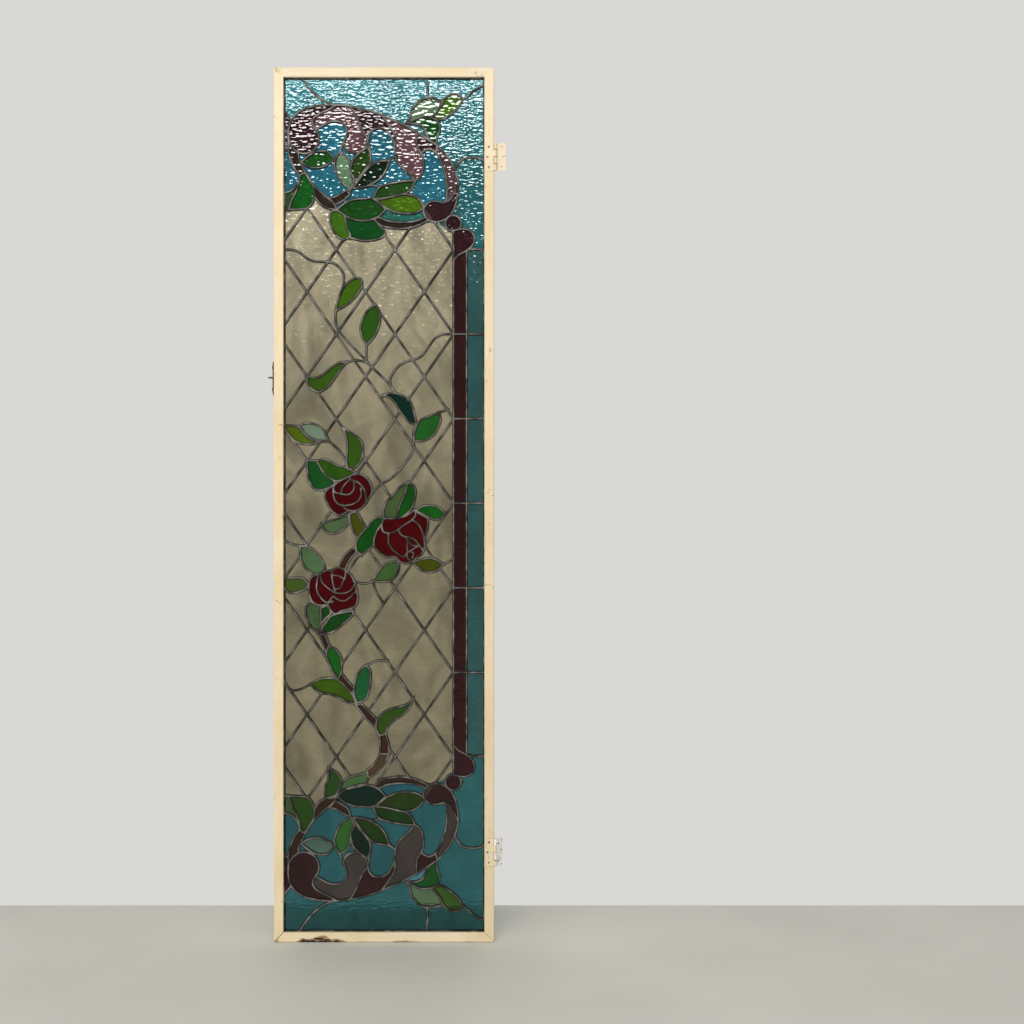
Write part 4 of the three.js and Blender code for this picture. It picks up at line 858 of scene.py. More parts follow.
# ---- Finishes ----
class Shader:
    """A material's node tree round one Principled shader, built step by step."""

    def __init__(self, name: str, roughness: float, metallic: float = 0.0) -> None:
        """Starts a material with its plain values.

        Args:
            name: the material's name.
            roughness: roughness of the whole surface.
            metallic: 1 for bare metal.
        """
        self.material = bpy.data.materials.new(name)
        self.material.use_nodes = True
        self.tree = self.material.node_tree
        self.skin = self.tree.nodes["Principled BSDF"]
        self.skin.inputs["Roughness"].default_value = roughness
        self.skin.inputs["Metallic"].default_value = metallic
        self.out = self.tree.nodes["Material Output"]
        self.place = self.add("ShaderNodeTexCoord").outputs["Object"]

    def add(self, kind: str, **settings: object) -> bpy.types.Node:
        """Adds a node.

        Args:
            kind: the node's type.
            settings: its properties.

        Returns:
            The node.
        """
        node = self.tree.nodes.new(kind)
        for key, value in settings.items():
            setattr(node, key, value)
        return node

    def link(self, source: Socket, target: Socket) -> None:
        """Joins two sockets."""
        self.tree.links.new(source, target)

    def feed(self, target: Socket, value: object) -> None:
        """Gives a socket its value.

        Args:
            target: the socket.
            value: a number, a colour or another socket.
        """
        if isinstance(value, (int, float)):
            target.default_value = value
        elif isinstance(value, tuple):
            target.default_value = (*value, 1)
        else:
            self.link(value, target)

    def stretched(self, scale: tuple[float, float, float], turn: float = 0.0) -> Socket:
        """Object coordinates, scaled and turned.

        Args:
            scale: the scale along each axis.
            turn: the turn about the depth axis, in radians.

        Returns:
            The coordinates' socket.
        """
        node = self.add("ShaderNodeMapping")
        node.inputs["Scale"].default_value = scale
        node.inputs["Rotation"].default_value = (0, turn, 0)
        self.link(self.place, node.inputs["Vector"])
        return node.outputs["Vector"]

    def noise(
        self, scale: float, detail: float = 3, warp: float = 0.0, vector: Optional[Socket] = None
    ) -> Socket:
        """A soft noise between 0 and 1.

        Args:
            scale: how many clouds to the metre.
            detail: how finely they break up.
            warp: how far they are drawn about.
            vector: the coordinates, where they aren't the plain ones.

        Returns:
            The noise's socket.
        """
        node = self.add("ShaderNodeTexNoise")
        node.inputs["Scale"].default_value = scale
        node.inputs["Detail"].default_value = detail
        node.inputs["Distortion"].default_value = warp
        self.link(vector or self.place, node.inputs["Vector"])
        return node.outputs["Fac"]

    def pebbles(self, scale: float, vector: Socket) -> Socket:
        """Rounded hammer marks.

        Args:
            scale: how many marks to the metre.
            vector: the coordinates.

        Returns:
            The socket of the distance from a mark's middle.
        """
        node = self.add("ShaderNodeTexVoronoi", feature="SMOOTH_F1")
        node.inputs["Scale"].default_value = scale
        node.inputs["Smoothness"].default_value = 0.6
        self.link(vector, node.inputs["Vector"])
        return node.outputs["Distance"]

    def ramp(
        self, value: Socket, low: float, high: float, to_low: float = 0.0, to_high: float = 1.0
    ) -> Socket:
        """A value stretched from one range to another and kept within it.

        Args:
            value: the value's socket.
            low: where its range starts.
            high: where its range ends.
            to_low: what the start becomes.
            to_high: what the end becomes.

        Returns:
            The new value's socket.
        """
        node = self.add("ShaderNodeMapRange", clamp=True)
        self.feed(node.inputs["From Min"], low)
        self.feed(node.inputs["From Max"], high)
        self.feed(node.inputs["To Min"], to_low)
        self.feed(node.inputs["To Max"], to_high)
        self.link(value, node.inputs["Value"])
        return node.outputs["Result"]

    def maths(self, kind: str, a: object, b: object = 0.0) -> Socket:
        """Arithmetic on two values.

        Args:
            kind: the operation.
            a: first number or socket.
            b: second number or socket.

        Returns:
            The result's socket.
        """
        node = self.add("ShaderNodeMath", operation=kind)
        for socket, value in zip(node.inputs, (a, b)):
            self.feed(socket, value)
        return node.outputs["Value"]

    def blend(self, share: object, a: object, b: object, kind: str = "MIX") -> Socket:
        """Two colours mixed by a share.

        Args:
            share: socket or number.
            a: first colour or socket.
            b: second colour or socket.
            kind: how they blend.

        Returns:
            The mixed colour's socket.
        """
        node = self.add("ShaderNodeMix", data_type="RGBA", blend_type=kind)
        for at, value in ((0, share), (6, a), (7, b)):
            self.feed(node.inputs[at], value)
        return node.outputs[2]

    def bump(self, height: Socket, depth: float) -> None:
        """Relief, as the surface's normal.

        Args:
            height: the relief's socket.
            depth: its depth, in metres.
        """
        node = self.add("ShaderNodeBump")
        node.inputs["Distance"].default_value = depth
        node.inputs["Strength"].default_value = 1.0
        self.link(height, node.inputs["Height"])
        self.link(node.outputs["Normal"], self.skin.inputs["Normal"])

    def coordinate(self, axis: str) -> Socket:
        """One object coordinate.

        Args:
            axis: X, Y or Z.

        Returns:
            Its socket, in metres.
        """
        node = self.add("ShaderNodeSeparateXYZ")
        self.link(self.place, node.inputs["Vector"])
        return node.outputs[axis]


@dataclass(frozen=True)
class GlassFinish:
    """Coloured sheet glass, with its tint painted per pane."""

    name: str
    pebble: float  # hammer marks to the metre
    relief: float  # their depth, in metres
    # The streaks are partly the glass's own, partly a painted play of light and shade between dim
    # and lit.
    streak: float  # how much the tint changes within a pane
    roughness: float = 0.05
    # Broad clouds: partly the glass's own clouding, partly painted shadow cast on the wall behind.
    mottle_and_wall_shadow: float = 0.0  # how much broad clouds darken it
    transmission: float = 0.93
    ior: float = 1.57
    mark: float = 0.35  # how much a hammer mark darkens the tint
    wave: float = 0.45  # height of the slow waves, next to the marks
    dim: Colour = (0.78, 0.78, 0.78)
    lit: Colour = (1.18, 1.18, 1.18)
    shadow_gamma: float = 0.5  # below 1, the shadow is paler than the pane

    def make(self) -> bpy.types.Material:
        """The finish as a material that reads each pane's own tint.

        Returns:
            The material.
        """
        s = Shader(self.name, self.roughness)
        marks = s.pebbles(self.pebble, s.stretched((1, 1, 2.3)))
        seen = self.seen(s, marks)
        s.link(seen, s.skin.inputs["Base Color"])
        s.skin.inputs["Transmission Weight"].default_value = self.transmission
        s.skin.inputs["IOR"].default_value = self.ior
        waves = s.noise(26, detail=2, warp=0.4, vector=s.stretched((1, 1, 1.6)))
        s.bump(s.maths("ADD", marks, s.maths("MULTIPLY", waves, self.wave)), self.relief)
        self.tint_shadow(s, seen)
        return s.material

    def seen(self, s: Shader, marks: Socket) -> Socket:
        """The colour of the glass: each pane's tint, streaked, marked and clouded, the streaks
        partly a painted play of light and the broad clouds partly painted shadow from the wall
        behind.

        Args:
            s: the shader it is drawn in.
            marks: the hammer marks' socket.

        Returns:
            The colour's socket.
        """
        tint = s.add("ShaderNodeAttribute", attribute_name="tint", attribute_type="GEOMETRY")
        drawn = s.stretched((1, 1, 0.45), turn=0.5)
        cloud = s.ramp(s.noise(14, detail=4, warp=1.5, vector=drawn), 0.35, 0.68)
        streaks = s.maths("MULTIPLY", cloud, self.streak)
        shade = s.maths("SUBTRACT", streaks, s.maths("MULTIPLY", marks, self.mark))
        change = s.blend(s.ramp(shade, -0.2, self.streak), self.dim, self.lit)
        seen = s.blend(1.0, tint.outputs["Color"], change, "MULTIPLY")
        # Broad clouds, partly the glass's own and partly painted shadow from the wall behind.
        if self.mottle_and_wall_shadow:
            leaning = s.stretched((1, 1, 0.8), turn=0.4)
            clouds = s.noise(9, detail=5, warp=1.2, vector=leaning)
            broad = s.ramp(clouds, 0.36, 0.64, 1 - self.mottle_and_wall_shadow, 1 + self.mottle_and_wall_shadow / 2)
            grey = s.blend(broad, (0.0, 0.0, 0.0), (1.0, 1.0, 1.0))
            seen = s.blend(1.0, seen, grey, "MULTIPLY")
        return seen

    def tint_shadow(self, s: Shader, seen: Socket) -> None:
        """Lets light through to what stands behind, tinted by the pane.

        Args:
            s: the shader it is drawn in.
            seen: the glass colour's socket.
        """
        path = s.add("ShaderNodeLightPath")
        clear = s.add("ShaderNodeBsdfTransparent")
        soft = s.add("ShaderNodeGamma")
        soft.inputs["Gamma"].default_value = self.shadow_gamma
        s.link(seen, soft.inputs["Color"])
        s.link(soft.outputs["Color"], clear.inputs["Color"])
        both = s.add("ShaderNodeMixShader")
        s.link(path.outputs["Is Shadow Ray"], both.inputs["Fac"])
        s.link(s.skin.outputs["BSDF"], both.inputs[1])
        s.link(clear.outputs["BSDF"], both.inputs[2])
        s.link(both.outputs["Shader"], s.out.inputs["Surface"])


class Grain(Enum):
    """Which way a member's grain and brush marks run: marks to the metre along each axis."""

    UPRIGHT = (900, 900, 14)
    LEVEL = (14, 900, 900)


@dataclass(frozen=True)
class Rot:
    """Where a bottom rail has rotted: a patch from the ground up, and the outer corner."""

    height: float  # how high it reaches at its worst
    at: float = 0.098  # middle of the worst patch, from the rail's outer end
    sound: tuple[float, float] = (0.028, 0.055)  # the patch fades out between these distances
    corner: tuple[float, float] = (0.004, 0.012)  # and the corner's rot between these
    at_corner: float = 0.7  # height there, next to the worst patch
    elsewhere: float = 0.3  # height of the small patches along the rail, next to the worst
    brown: Rgb = (138, 96, 54)
    black: Rgb = (48, 30, 18)

    def stain(self, s: Shader, paint: Socket) -> Socket:
        """The paint with the rot in it.

        Args:
            s: the shader it is drawn in.
            paint: the sound paint's socket.

        Returns:
            The stained paint's socket.
        """
        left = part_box("frame_bottom_rail")[0].x
        height = s.maths("SUBTRACT", s.coordinate("Z"), CAD_BOX[0].z)
        ragged = s.noise(42, detail=6, warp=0.6, vector=s.stretched((1, 1, 2.2)))
        worst = s.maths("ABSOLUTE", s.maths("SUBTRACT", s.coordinate("X"), left + self.at))
        patch = s.ramp(worst, *self.sound, self.height, 0.0)
        smaller = s.ramp(s.noise(13, detail=2), 0.5, 0.62, 0.0, self.height * self.elsewhere)
        reach = s.maths("ADD", patch, smaller)
        aside = s.maths("SUBTRACT", s.coordinate("X"), left)
        corner = s.ramp(aside, *self.corner, self.height * self.at_corner, 0.0)
        torn = s.ramp(ragged, 0.3, 0.62, 0.1, 1.3)
        edge = s.maths("MULTIPLY", s.maths("ADD", reach, corner), torn)
        eaten = s.maths("SUBTRACT", edge, height)
        stained = s.blend(s.ramp(eaten, -0.001, 0.0012, 0, 0.8), paint, linear(self.brown))
        return s.blend(s.ramp(eaten, 0.0035, 0.006), stained, linear(self.black))


@dataclass(frozen=True)
class PaintFinish:
    """Old oil paint on wood: brush marks along the member, dirt and knocks."""

    name: str
    grain: Grain = Grain.UPRIGHT
    colour: Rgb = (240, 224, 190)
    yellowed: Rgb = (229, 208, 166)
    brushed: Rgb = (205, 178, 128)
    worn: Rgb = (196, 160, 108)
    rot: Optional[Rot] = None
    relief: float = 0.0006

    def make(self) -> bpy.types.Material:
        """The finish as a material.

        Returns:
            The material.
        """
        s = Shader(self.name, 0.42)
        brush = s.noise(1, detail=3, warp=0.2, vector=s.stretched(self.grain.value))
        cloud = s.noise(7, detail=5, warp=0.6)
        base = s.blend(s.ramp(cloud, 0.3, 0.7), linear(self.colour), linear(self.yellowed))
        base = s.blend(s.ramp(brush, 0.35, 0.8, 0, 0.35), base, linear(self.brushed))
        knock = s.ramp(s.noise(55, detail=6, warp=1.2), 0.68, 0.72)
        base = s.blend(s.maths("MULTIPLY", knock, 0.75), base, linear(self.worn))
        if self.rot:
            base = self.rot.stain(s, base)
        s.link(base, s.skin.inputs["Base Color"])
        s.link(s.ramp(cloud, 0.3, 0.75, 0.36, 0.6), s.skin.inputs["Roughness"])
        ridges, dents = s.maths("MULTIPLY", brush, 0.5), s.maths("MULTIPLY", knock, 1.2)
        s.bump(s.maths("SUBTRACT", ridges, dents), self.relief)
        return s.material


@dataclass(frozen=True)
class MetalFinish:
    """Bare or tarnished metal."""

    name: str
    bright: Rgb
    dull: Rgb
    roughness: float = 0.38
    metallic: float = 0.85
    spots: float = 90.0  # stains to the metre
    relief: float = 0.00025

    def make(self) -> bpy.types.Material:
        """The finish as a material.

        Returns:
            The material.
        """
        s = Shader(self.name, self.roughness, self.metallic)
        stain = s.ramp(s.noise(self.spots, detail=6, warp=0.8), 0.38, 0.62)
        colour = s.blend(stain, linear(self.bright), linear(self.dull))
        s.link(colour, s.skin.inputs["Base Color"])
        gloss = s.ramp(stain, 0, 1, self.roughness, self.roughness + 0.25)
        s.link(gloss, s.skin.inputs["Roughness"])
        s.bump(s.noise(700, detail=4), self.relief)
        return s.material


@dataclass(frozen=True)
class LeadFinish:
    """Old lead: pale grey along the crown, worn metal with a painted highlight, and near black
    where it meets the glass, soiling with painted shade.
    """

    name: str
    front: tuple[float, float]  # depth of the crown and of the flat side, in front
    behind: tuple[float, float]  # the same behind the glass
    # The crown's colour: worn metal and a painted highlight; the next colour is the edges' soiling
    # and painted shade.
    bright: Rgb = (180, 174, 164)
    grime_and_shade: Rgb = (26, 22, 18)
    dust: Rgb = (64, 56, 46)
    rubbed_lit_from: float = 1.13  # where on the came's height the dark edges, soiling and painted shade, give way to the crown's worn metal and painted highlight
    rubbed_lit_to: float = 1.4
    relief: float = 0.0004

    def make(self) -> bpy.types.Material:
        """The finish as a material.

        Returns:
            The material.
        """
        s = Shader(self.name, 0.42, 0.25)
        depth = s.coordinate("Y")
        sides = [s.ramp(depth, flat, crown) for crown, flat in (self.front, self.behind)]
        crowned = s.maths("MAXIMUM", *sides)
        patchy = s.maths("ADD", crowned, s.maths("MULTIPLY", s.noise(55, detail=4), 0.5))
        # Painted highlight along the crown and painted shade at the edges, over the lead's own wear
        # and soiling.
        rubbed_and_lit = s.ramp(patchy, self.rubbed_lit_from, self.rubbed_lit_to)
        colour = s.blend(rubbed_and_lit, linear(self.grime_and_shade), linear(self.bright))
        dusty = s.ramp(s.noise(28, detail=5, warp=0.5), 0.4, 0.7, 0, 0.55)
        s.link(s.blend(dusty, colour, linear(self.dust)), s.skin.inputs["Base Color"])
        s.link(s.ramp(rubbed_and_lit, 0, 1, 0.62, 0.34), s.skin.inputs["Roughness"])
        s.bump(s.noise(320, detail=4), self.relief)
        return s.material


@dataclass(frozen=True)
class Knuckles:
    """The barrel of a butt hinge, with dark seams between its knuckles: settled soiling and painted
    shade.
    """

    pin: tuple[Vector, Vector]  # box of the hinge pin
    count: int = 4
    radius: float = 0.0032
    seam: float = 0.0007
    dirt_and_shade: Rgb = (58, 46, 34)

    def mask(self, s: Shader) -> Socket:
        """Where the dark seams lie, soiling and painted shade: across the barrel at each joint, and
        along each knuckle's open side.

        Args:
            s: the shader it is drawn in.

        Returns:
            A mask's socket.
        """
        low, high = self.pin
        pitch = (high.z - low.z) / self.count
        aside = s.maths("SUBTRACT", s.coordinate("X"), (low.x + high.x) / 2)
        up = s.maths("SUBTRACT", s.coordinate("Z"), low.z)
        step = s.maths("PINGPONG", up, pitch)
        at_step = s.maths("MINIMUM", step, s.maths("SUBTRACT", pitch, step))
        on_barrel = s.maths("LESS_THAN", s.maths("ABSOLUTE", aside), self.radius + self.seam)
        across = s.maths("MULTIPLY", s.maths("LESS_THAN", at_step, self.seam), on_barrel)
        odd = s.maths("GREATER_THAN", s.maths("MODULO", up, 2 * pitch), pitch)
        hand = s.maths("SUBTRACT", s.maths("MULTIPLY", odd, 2.0), 1.0)
        off = s.maths("SUBTRACT", aside, s.maths("MULTIPLY", hand, -self.radius))
        along = s.maths("LESS_THAN", s.maths("ABSOLUTE", off), self.seam * 0.8)
        return s.maths("MAXIMUM", across, along)


@dataclass(frozen=True)
class PrimerFinish:
    """White primer chipped off steel, or paint that has run over it."""

    name: str
    colour: Rgb
    bare: Rgb
    chips: float  # the lower, the more of it has gone
    knuckles: Optional[Knuckles] = None
    shaded: Rgb = (201, 186, 156)
    relief: float = 0.0005

    def make(self) -> bpy.types.Material:
        """The finish as a material.

        Returns:
            The material.
        """
        s = Shader(self.name, 0.5)
        gone = s.ramp(s.noise(150, detail=7, warp=0.7), self.chips, self.chips + 0.025)
        cloud = s.ramp(s.noise(40, detail=4), 0.3, 0.7, 0.0, 0.4)
        paint = s.blend(cloud, linear(self.colour), linear(self.shaded))
        if self.knuckles:
            # Dark knuckle seams: soiling and painted shade.
            paint = s.blend(self.knuckles.mask(s), paint, linear(self.knuckles.dirt_and_shade))
        s.link(s.blend(gone, paint, linear(self.bare)), s.skin.inputs["Base Color"])
        s.link(s.ramp(gone, 0, 1, 0.45, 0.7), s.skin.inputs["Roughness"])
        sunk = s.maths("MULTIPLY", gone, 0.8)
        s.bump(s.maths("SUBTRACT", s.noise(260, detail=4), sunk), self.relief)
        return s.material


# ---- Lead ----
@dataclass
class LeadLines:
    """Every lead of the panel, laid in order so that no lead covers another."""

    wide: float = 5.2
    fine: float = 4.4  # the leads inside the roses
    step: float = 1.5  # how closely a line is tested
    covered: float = 2.4  # a point nearer than this to a laid lead is under it
    shortest: float = 4.0
    pitch: float = 121.0  # the trellis diamonds' width and height
    rise: float = 174.5
    crossing: float = 360.0  # height of a crossing on the panel's left edge
    diamonds: tuple[int, int] = (-6, 14)  # first of them, and the one after the last
    before: float = 6.0  # how far the trellis starts outside the panel's left edge
    bars: int = 5  # leads across the column and the border
    past: float = 3.0  # how far those run on past the panel's right edge
    column_tops: tuple[float, float] = (1443, 1404)  # how high the column's two leads run
    laid: list[tuple[Line, float]] = field(default_factory=list)
    drawn: list[Line] = field(default_factory=list)

    def distances(self, points: Line) -> np.ndarray:
        """How far points are from the leads already laid.

        Args:
            points: the points.

        Returns:
            Each one's distance to the nearest lead.
        """
        starts = np.array([p for line, _ in self.laid for p in line[:-1]], float).reshape(-1, 2)
        ends = np.array([p for line, _ in self.laid for p in line[1:]], float).reshape(-1, 2)
        if not len(starts):
            return np.full(len(points), 1e9)
        along = ends - starts
        gap = np.array(points, float)[:, None, :] - starts[None]
        share = np.clip((gap * along).sum(2) / np.maximum((along**2).sum(1), 1e-9), 0, 1)
        return np.linalg.norm(gap - share[:, :, None] * along, axis=2).min(1)

    def stretches(self, points: Line, away: Callable[[Line], Sequence[float]]) -> list[Line]:
        """The stretches of a line clear of what is there, each run on to where it meets it.

        Args:
            points: the line.
            away: gives how far each point is from what is there.

        Returns:
            The stretches as polylines.
        """
        steps: Line = []
        for a, b in zip(points, points[1:]):
            count = max(1, round(math.dist(a, b) / self.step))
            for k in range(count):
                steps.append((a[0] + (b[0] - a[0]) * k / count, a[1] + (b[1] - a[1]) * k / count))
        steps.append(points[-1])
        off = away(steps)
        found: list[Line] = []
        i = 0
        while i < len(steps):
            if off[i] >= self.covered:
                start = i
                while start > 0 and off[start - 1] < off[start]:
                    start -= 1
                while i < len(steps) - 1 and off[i + 1] >= self.covered:
                    i += 1
                end = i
                while end < len(steps) - 1 and off[end + 1] < off[end]:
                    end += 1
                reach = math.dist(steps[start], steps[end])
                if reach > self.shortest or end - start > self.shortest:
                    found.append(simplified(steps[start : end + 1]))
            i += 1
        return found

    def lay(self, points: Line, width: Optional[float] = None) -> None:
        """Lays one lead where no earlier lead lies.

        Args:
            points: its line.
            width: its width, where it isn't the usual one.
        """
        self.drawn.append(points)
        for found in self.stretches(points, self.distances):
            self.laid.append((found, width or self.wide))

    def around(self, points: Line) -> None:
        """Lays the lead round a piece."""
        self.lay([*points, points[0]])

    def lay_all(self) -> None:
        """Lays the two ends, the column, the roses, leaves and tendrils, and the trellis last."""
        c = Cartoon
        for turn, hanging in zip(ENDS, (c.UPPER_HANGING, c.LOWER_HANGING)):
            for piece in (c.SCROLL, c.TEARDROP, c.SMALL_BALL, *c.INNER_LEAVES.values()):
                self.around(turn(piece))
            for piece in (c.EDGE_LEAF, c.BAND, *c.SPRIG.values()):
                self.around(turn(piece))
            for piece in hanging.values():
                self.around(piece)
            for line in (*c.SCROLL_LEADS, *c.BRANCH_LEADS, *c.INNER_LEADS, *c.SKY_LEADS):
                self.lay(turn(line))
        for u, top in zip(COLUMN, self.column_tops):
            self.lay([(u, MIRROR_V - top), (u, top)])
        for i in range(1, self.bars + 1):
            v = self.crossing + i * self.rise
            self.lay([(COLUMN[0], v), (SIGHT[0] + self.past, v)])
        for rose in c.ROSES.values():
            self.around(rose["edge"])
            for line in rose["leads"]:
                self.lay(line, self.fine)
        for piece in (*c.MIDDLE_LEAVES.values(), *c.BRANCHES.values()):
            self.around(piece)
        for line in c.TENDRILS:
            self.lay(line)
        self.lay_trellis()

    def lay_trellis(self) -> None:
        """Lays the diamonds in what the motifs leave between the two scrolls."""
        c = Cartoon
        ends = (c.SCROLL, c.SMALL_BALL, c.EDGE_LEAF, c.BAND)
        motifs = [turn(piece) for turn in ENDS for piece in ends]
        motifs += [*c.UPPER_HANGING.values(), *c.LOWER_HANGING.values()]
        motifs += [rose["edge"] for rose in c.ROSES.values()]
        motifs += [*c.MIDDLE_LEAVES.values(), *c.BRANCHES.values()]

        def away(points: Line) -> list[float]:
            """How far points are from the leads.

            Args:
                points: the points.

            Returns:
                Each one's distance to the nearest lead, or nothing off the trellis.
            """
            at = np.array(points, float)
            bare = within(at, c.TRELLIS_FIELD)
            for motif in motifs:
                bare &= ~within(at, motif)
            return list(np.where(bare, self.distances(points), 0.0))

        slope = self.rise / self.pitch
        lattice: list[Line] = []
        for i in range(*self.diamonds):
            for way in (1, -1):
                v = self.crossing + i * self.rise - way * slope * COLUMN[0]
                start = (-self.before, v - way * slope * self.before)
                line = [start, (COLUMN[0], v + way * slope * COLUMN[0])]
                lattice += self.stretches(line, away)
                self.drawn.append(line)
        self.laid += [(line, self.wide) for line in lattice]


@dataclass
class LeadWork:
    """The lead: domed cames in front and behind, solder at the joints and the border came."""

    place: Place
    lines: LeadLines
    border: float = 3.0
    dome: float = 0.55
    shoulder: float = 0.35  # share of the came's height where its dome starts
    arc_steps: int = 6
    solder_reach: float = 4.3
    solder_height: float = 1.15
    solder_sizes: tuple[float, float] = (0.8, 1.05)
    solder_widths: tuple[float, float] = (0.85, 1.15)  # next to their height
    behind_flat: float = 0.3  # gap from the glass to the rear cames' flat side
    behind_crown: float = 1.9  # and to their crown
    behind_rim: float = 0.9  # and to the middle of the rear border came
    rim_depth: float = 0.8  # depth of the border came, next to the others
    rim_round: float = 0.5  # radius of its corners
    crease: float = 50.0  # angle past which an edge stays sharp, in degrees
    seed: int = 11  # of the solder's uneven sizes

    def section(self, width: float, height: float) -> bpy.types.Object:
        """The came's cross-section as a closed curve: flat below, domed above.

        Args:
            width: its width.
            height: its height at the crown.

        Returns:
            The curve's object.
        """
        data = bpy.data.curves.new("came_section", "CURVE")
        data.dimensions = "2D"
        turns = [math.pi * k / self.arc_steps for k in range(self.arc_steps + 1)]
        low, rest = self.shoulder, 1 - self.shoulder
        arc = [(-width / 2 * math.cos(a), height * (low + rest * math.sin(a))) for a in turns]
        spline = add_polyline(data, [(-width / 2, 0.0), *arc, (width / 2, 0.0)])
        spline.use_cyclic_u = True
        return linked("came_section", data)

    def cames(
        self, width: float, height: float, y: float, front: bool, straight: bool
    ) -> bpy.types.Mesh:
        """All leads of one width, on one side of the glass, as one mesh.

        Args:
            width: width of the came's face.
            height: how far it stands proud of its flat side.
            y: depth of its flat side.
            front: whether it stands towards the viewer.
            straight: whether to take the straight leads or the curved ones.

        Returns:
            The mesh, in place.
        """
        data = bpy.data.curves.new("came_run", "CURVE")
        data.dimensions = "2D"
        data.fill_mode = "NONE"
        for points, wide in self.lines.laid:
            if wide == width and straight == (len(points) == 2):
                add_polyline(data, points)
        section = self.section(width, height)
        data.bevel_mode = "OBJECT"
        data.bevel_object = section
        data.use_fill_caps = True
        holder = linked("came_run", data)
        bpy.context.view_layer.update()
        evaluated = holder.evaluated_get(bpy.context.evaluated_depsgraph_get())
        mesh = bpy.data.meshes.new_from_object(evaluated)
        bpy.data.objects.remove(holder)
        bpy.data.objects.remove(section)
        if max(v.co.z for v in mesh.vertices) < height / 2:
            mesh.transform(Matrix.Scale(-1, 4, (0, 0, 1)))
            mesh.flip_normals()
        self.place.stand(mesh, y, front)
        mesh.polygons.foreach_set("material_index", [int(straight)] * len(mesh.polygons))
        return mesh

    def joints(self) -> list[Point]:
        """Where leads meet: the ends of every stretch, and the trellis crossings.

        Returns:
            The places, none within a blob of another.
        """
        found: list[Point] = []
        for points, _ in self.lines.laid:
            for p in (points[0], points[-1]):
                if all(math.dist(p, q) > self.solder_reach for q in found):
                    found.append(p)
        straight = [points for points, _ in self.lines.laid if len(points) == 2]
        for i, one in enumerate(straight):
            for two in straight[i + 1 :]:
                hit = geometry.intersect_line_line_2d(*(Vector(p) for p in (*one, *two)))
                if hit is not None and all(math.dist(hit, q) > self.solder_reach for q in found):
                    found.append((hit.x, hit.y))
        return found

    def solder(self, chance: random.Random) -> bpy.types.Mesh:
        """Flattened blobs of solder on the joints, front and back.

        Args:
            chance: gives the blobs their uneven sizes.

        Returns:
            The mesh, in place.
        """
        blob = bmesh.new()
        bmesh.ops.create_uvsphere(blob, u_segments=8, v_segments=4, radius=1)
        drop = as_mesh(blob, "solder_drop")
        bm = bmesh.new()
        spots = self.joints()
        for y in (self.place.lead[1] - self.dome * MM, self.place.behind(self.behind_crown)):
            for u, v in spots:
                r = self.solder_reach * chance.uniform(*self.solder_sizes) * MM
                at = Vector((self.place.left + u * MM, y, self.place.foot + v * MM))
                width = r * chance.uniform(*self.solder_widths)
                size = (width, self.solder_height * MM, r, 1)
                placed = drop.copy()
                placed.transform(Matrix.Translation(at) @ Matrix.Diagonal(size))
                bm.from_mesh(placed)
                bpy.data.meshes.remove(placed)
        mesh = as_mesh(bm, "solder")
        mesh.polygons.foreach_set("material_index", [1] * len(mesh.polygons))
        return mesh

    def rim(self) -> bpy.types.Mesh:
        """The flat border came, a narrow line inside the frame, front and back.

        Returns:
            The mesh, in place.
        """
        bm = bmesh.new()
        width, height = SIGHT
        inward = (self.border - OVER) / 2
        upright = (OVER + self.border, height + 2 * OVER)
        level = (width + 2 * OVER, OVER + self.border)
        depth = (self.place.lead[1] - self.place.lead[0]) * self.rim_depth
        for y in (sum(self.place.lead) / 2, self.place.behind(self.behind_rim)):
            for u, v, size in (
                (inward, height / 2, upright),
                (width - inward, height / 2, upright),
                (width / 2, inward, level),
                (width / 2, height - inward, level),
            ):
                centre = Vector((self.place.left + u * MM, y, self.place.foot + v * MM))
                box = Matrix.Diagonal((size[0] * MM, depth, size[1] * MM, 1))
                made = bmesh.ops.create_cube(bm, size=1, matrix=Matrix.Translation(centre) @ box)
                bmesh.ops.bevel(
                    bm,
                    geom=list(dict.fromkeys(e for v in made["verts"] for e in v.link_edges)),
                    offset=self.rim_round * MM,
                    affect="EDGES",
                    segments=2,
                    profile=0.5,
                    material=-1,
                )
        return as_mesh(bm, "border_came")

    def build(
        self, curved: bpy.types.Material, straight: bpy.types.Material
    ) -> bpy.types.Object:
        """Joins the lead into one piece that stands for the solid net.

        Args:
            curved: the finish of the leads round the motifs.
            straight: the finish of the straight leads and of the solder.

        Returns:
            The piece.
        """
        front, behind = self.place.lead[1], self.place.behind(self.behind_flat)
        parts = [self.solder(random.Random(self.seed)), self.rim()]
        proud = (front - self.place.lead[0]) / MM
        kinds = {(width, len(points) == 2) for points, width in self.lines.laid}
        for width, is_straight in sorted(kinds):
            parts.append(self.cames(width, proud, front, True, is_straight))
            parts.append(self.cames(width, proud, behind, False, is_straight))
        bm = bmesh.new()
        for part in parts:
            bm.from_mesh(part)
            bpy.data.meshes.remove(part)
        mesh = as_mesh(bm, "lead_and_solder")
        mesh.shade_smooth()
        mesh.set_sharp_from_angle(angle=math.radians(self.crease))
        piece = ride_on_sash("lead_and_solder", mesh, curved)
        piece.data.materials.append(straight)
        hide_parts("lead_cames")
        return piece


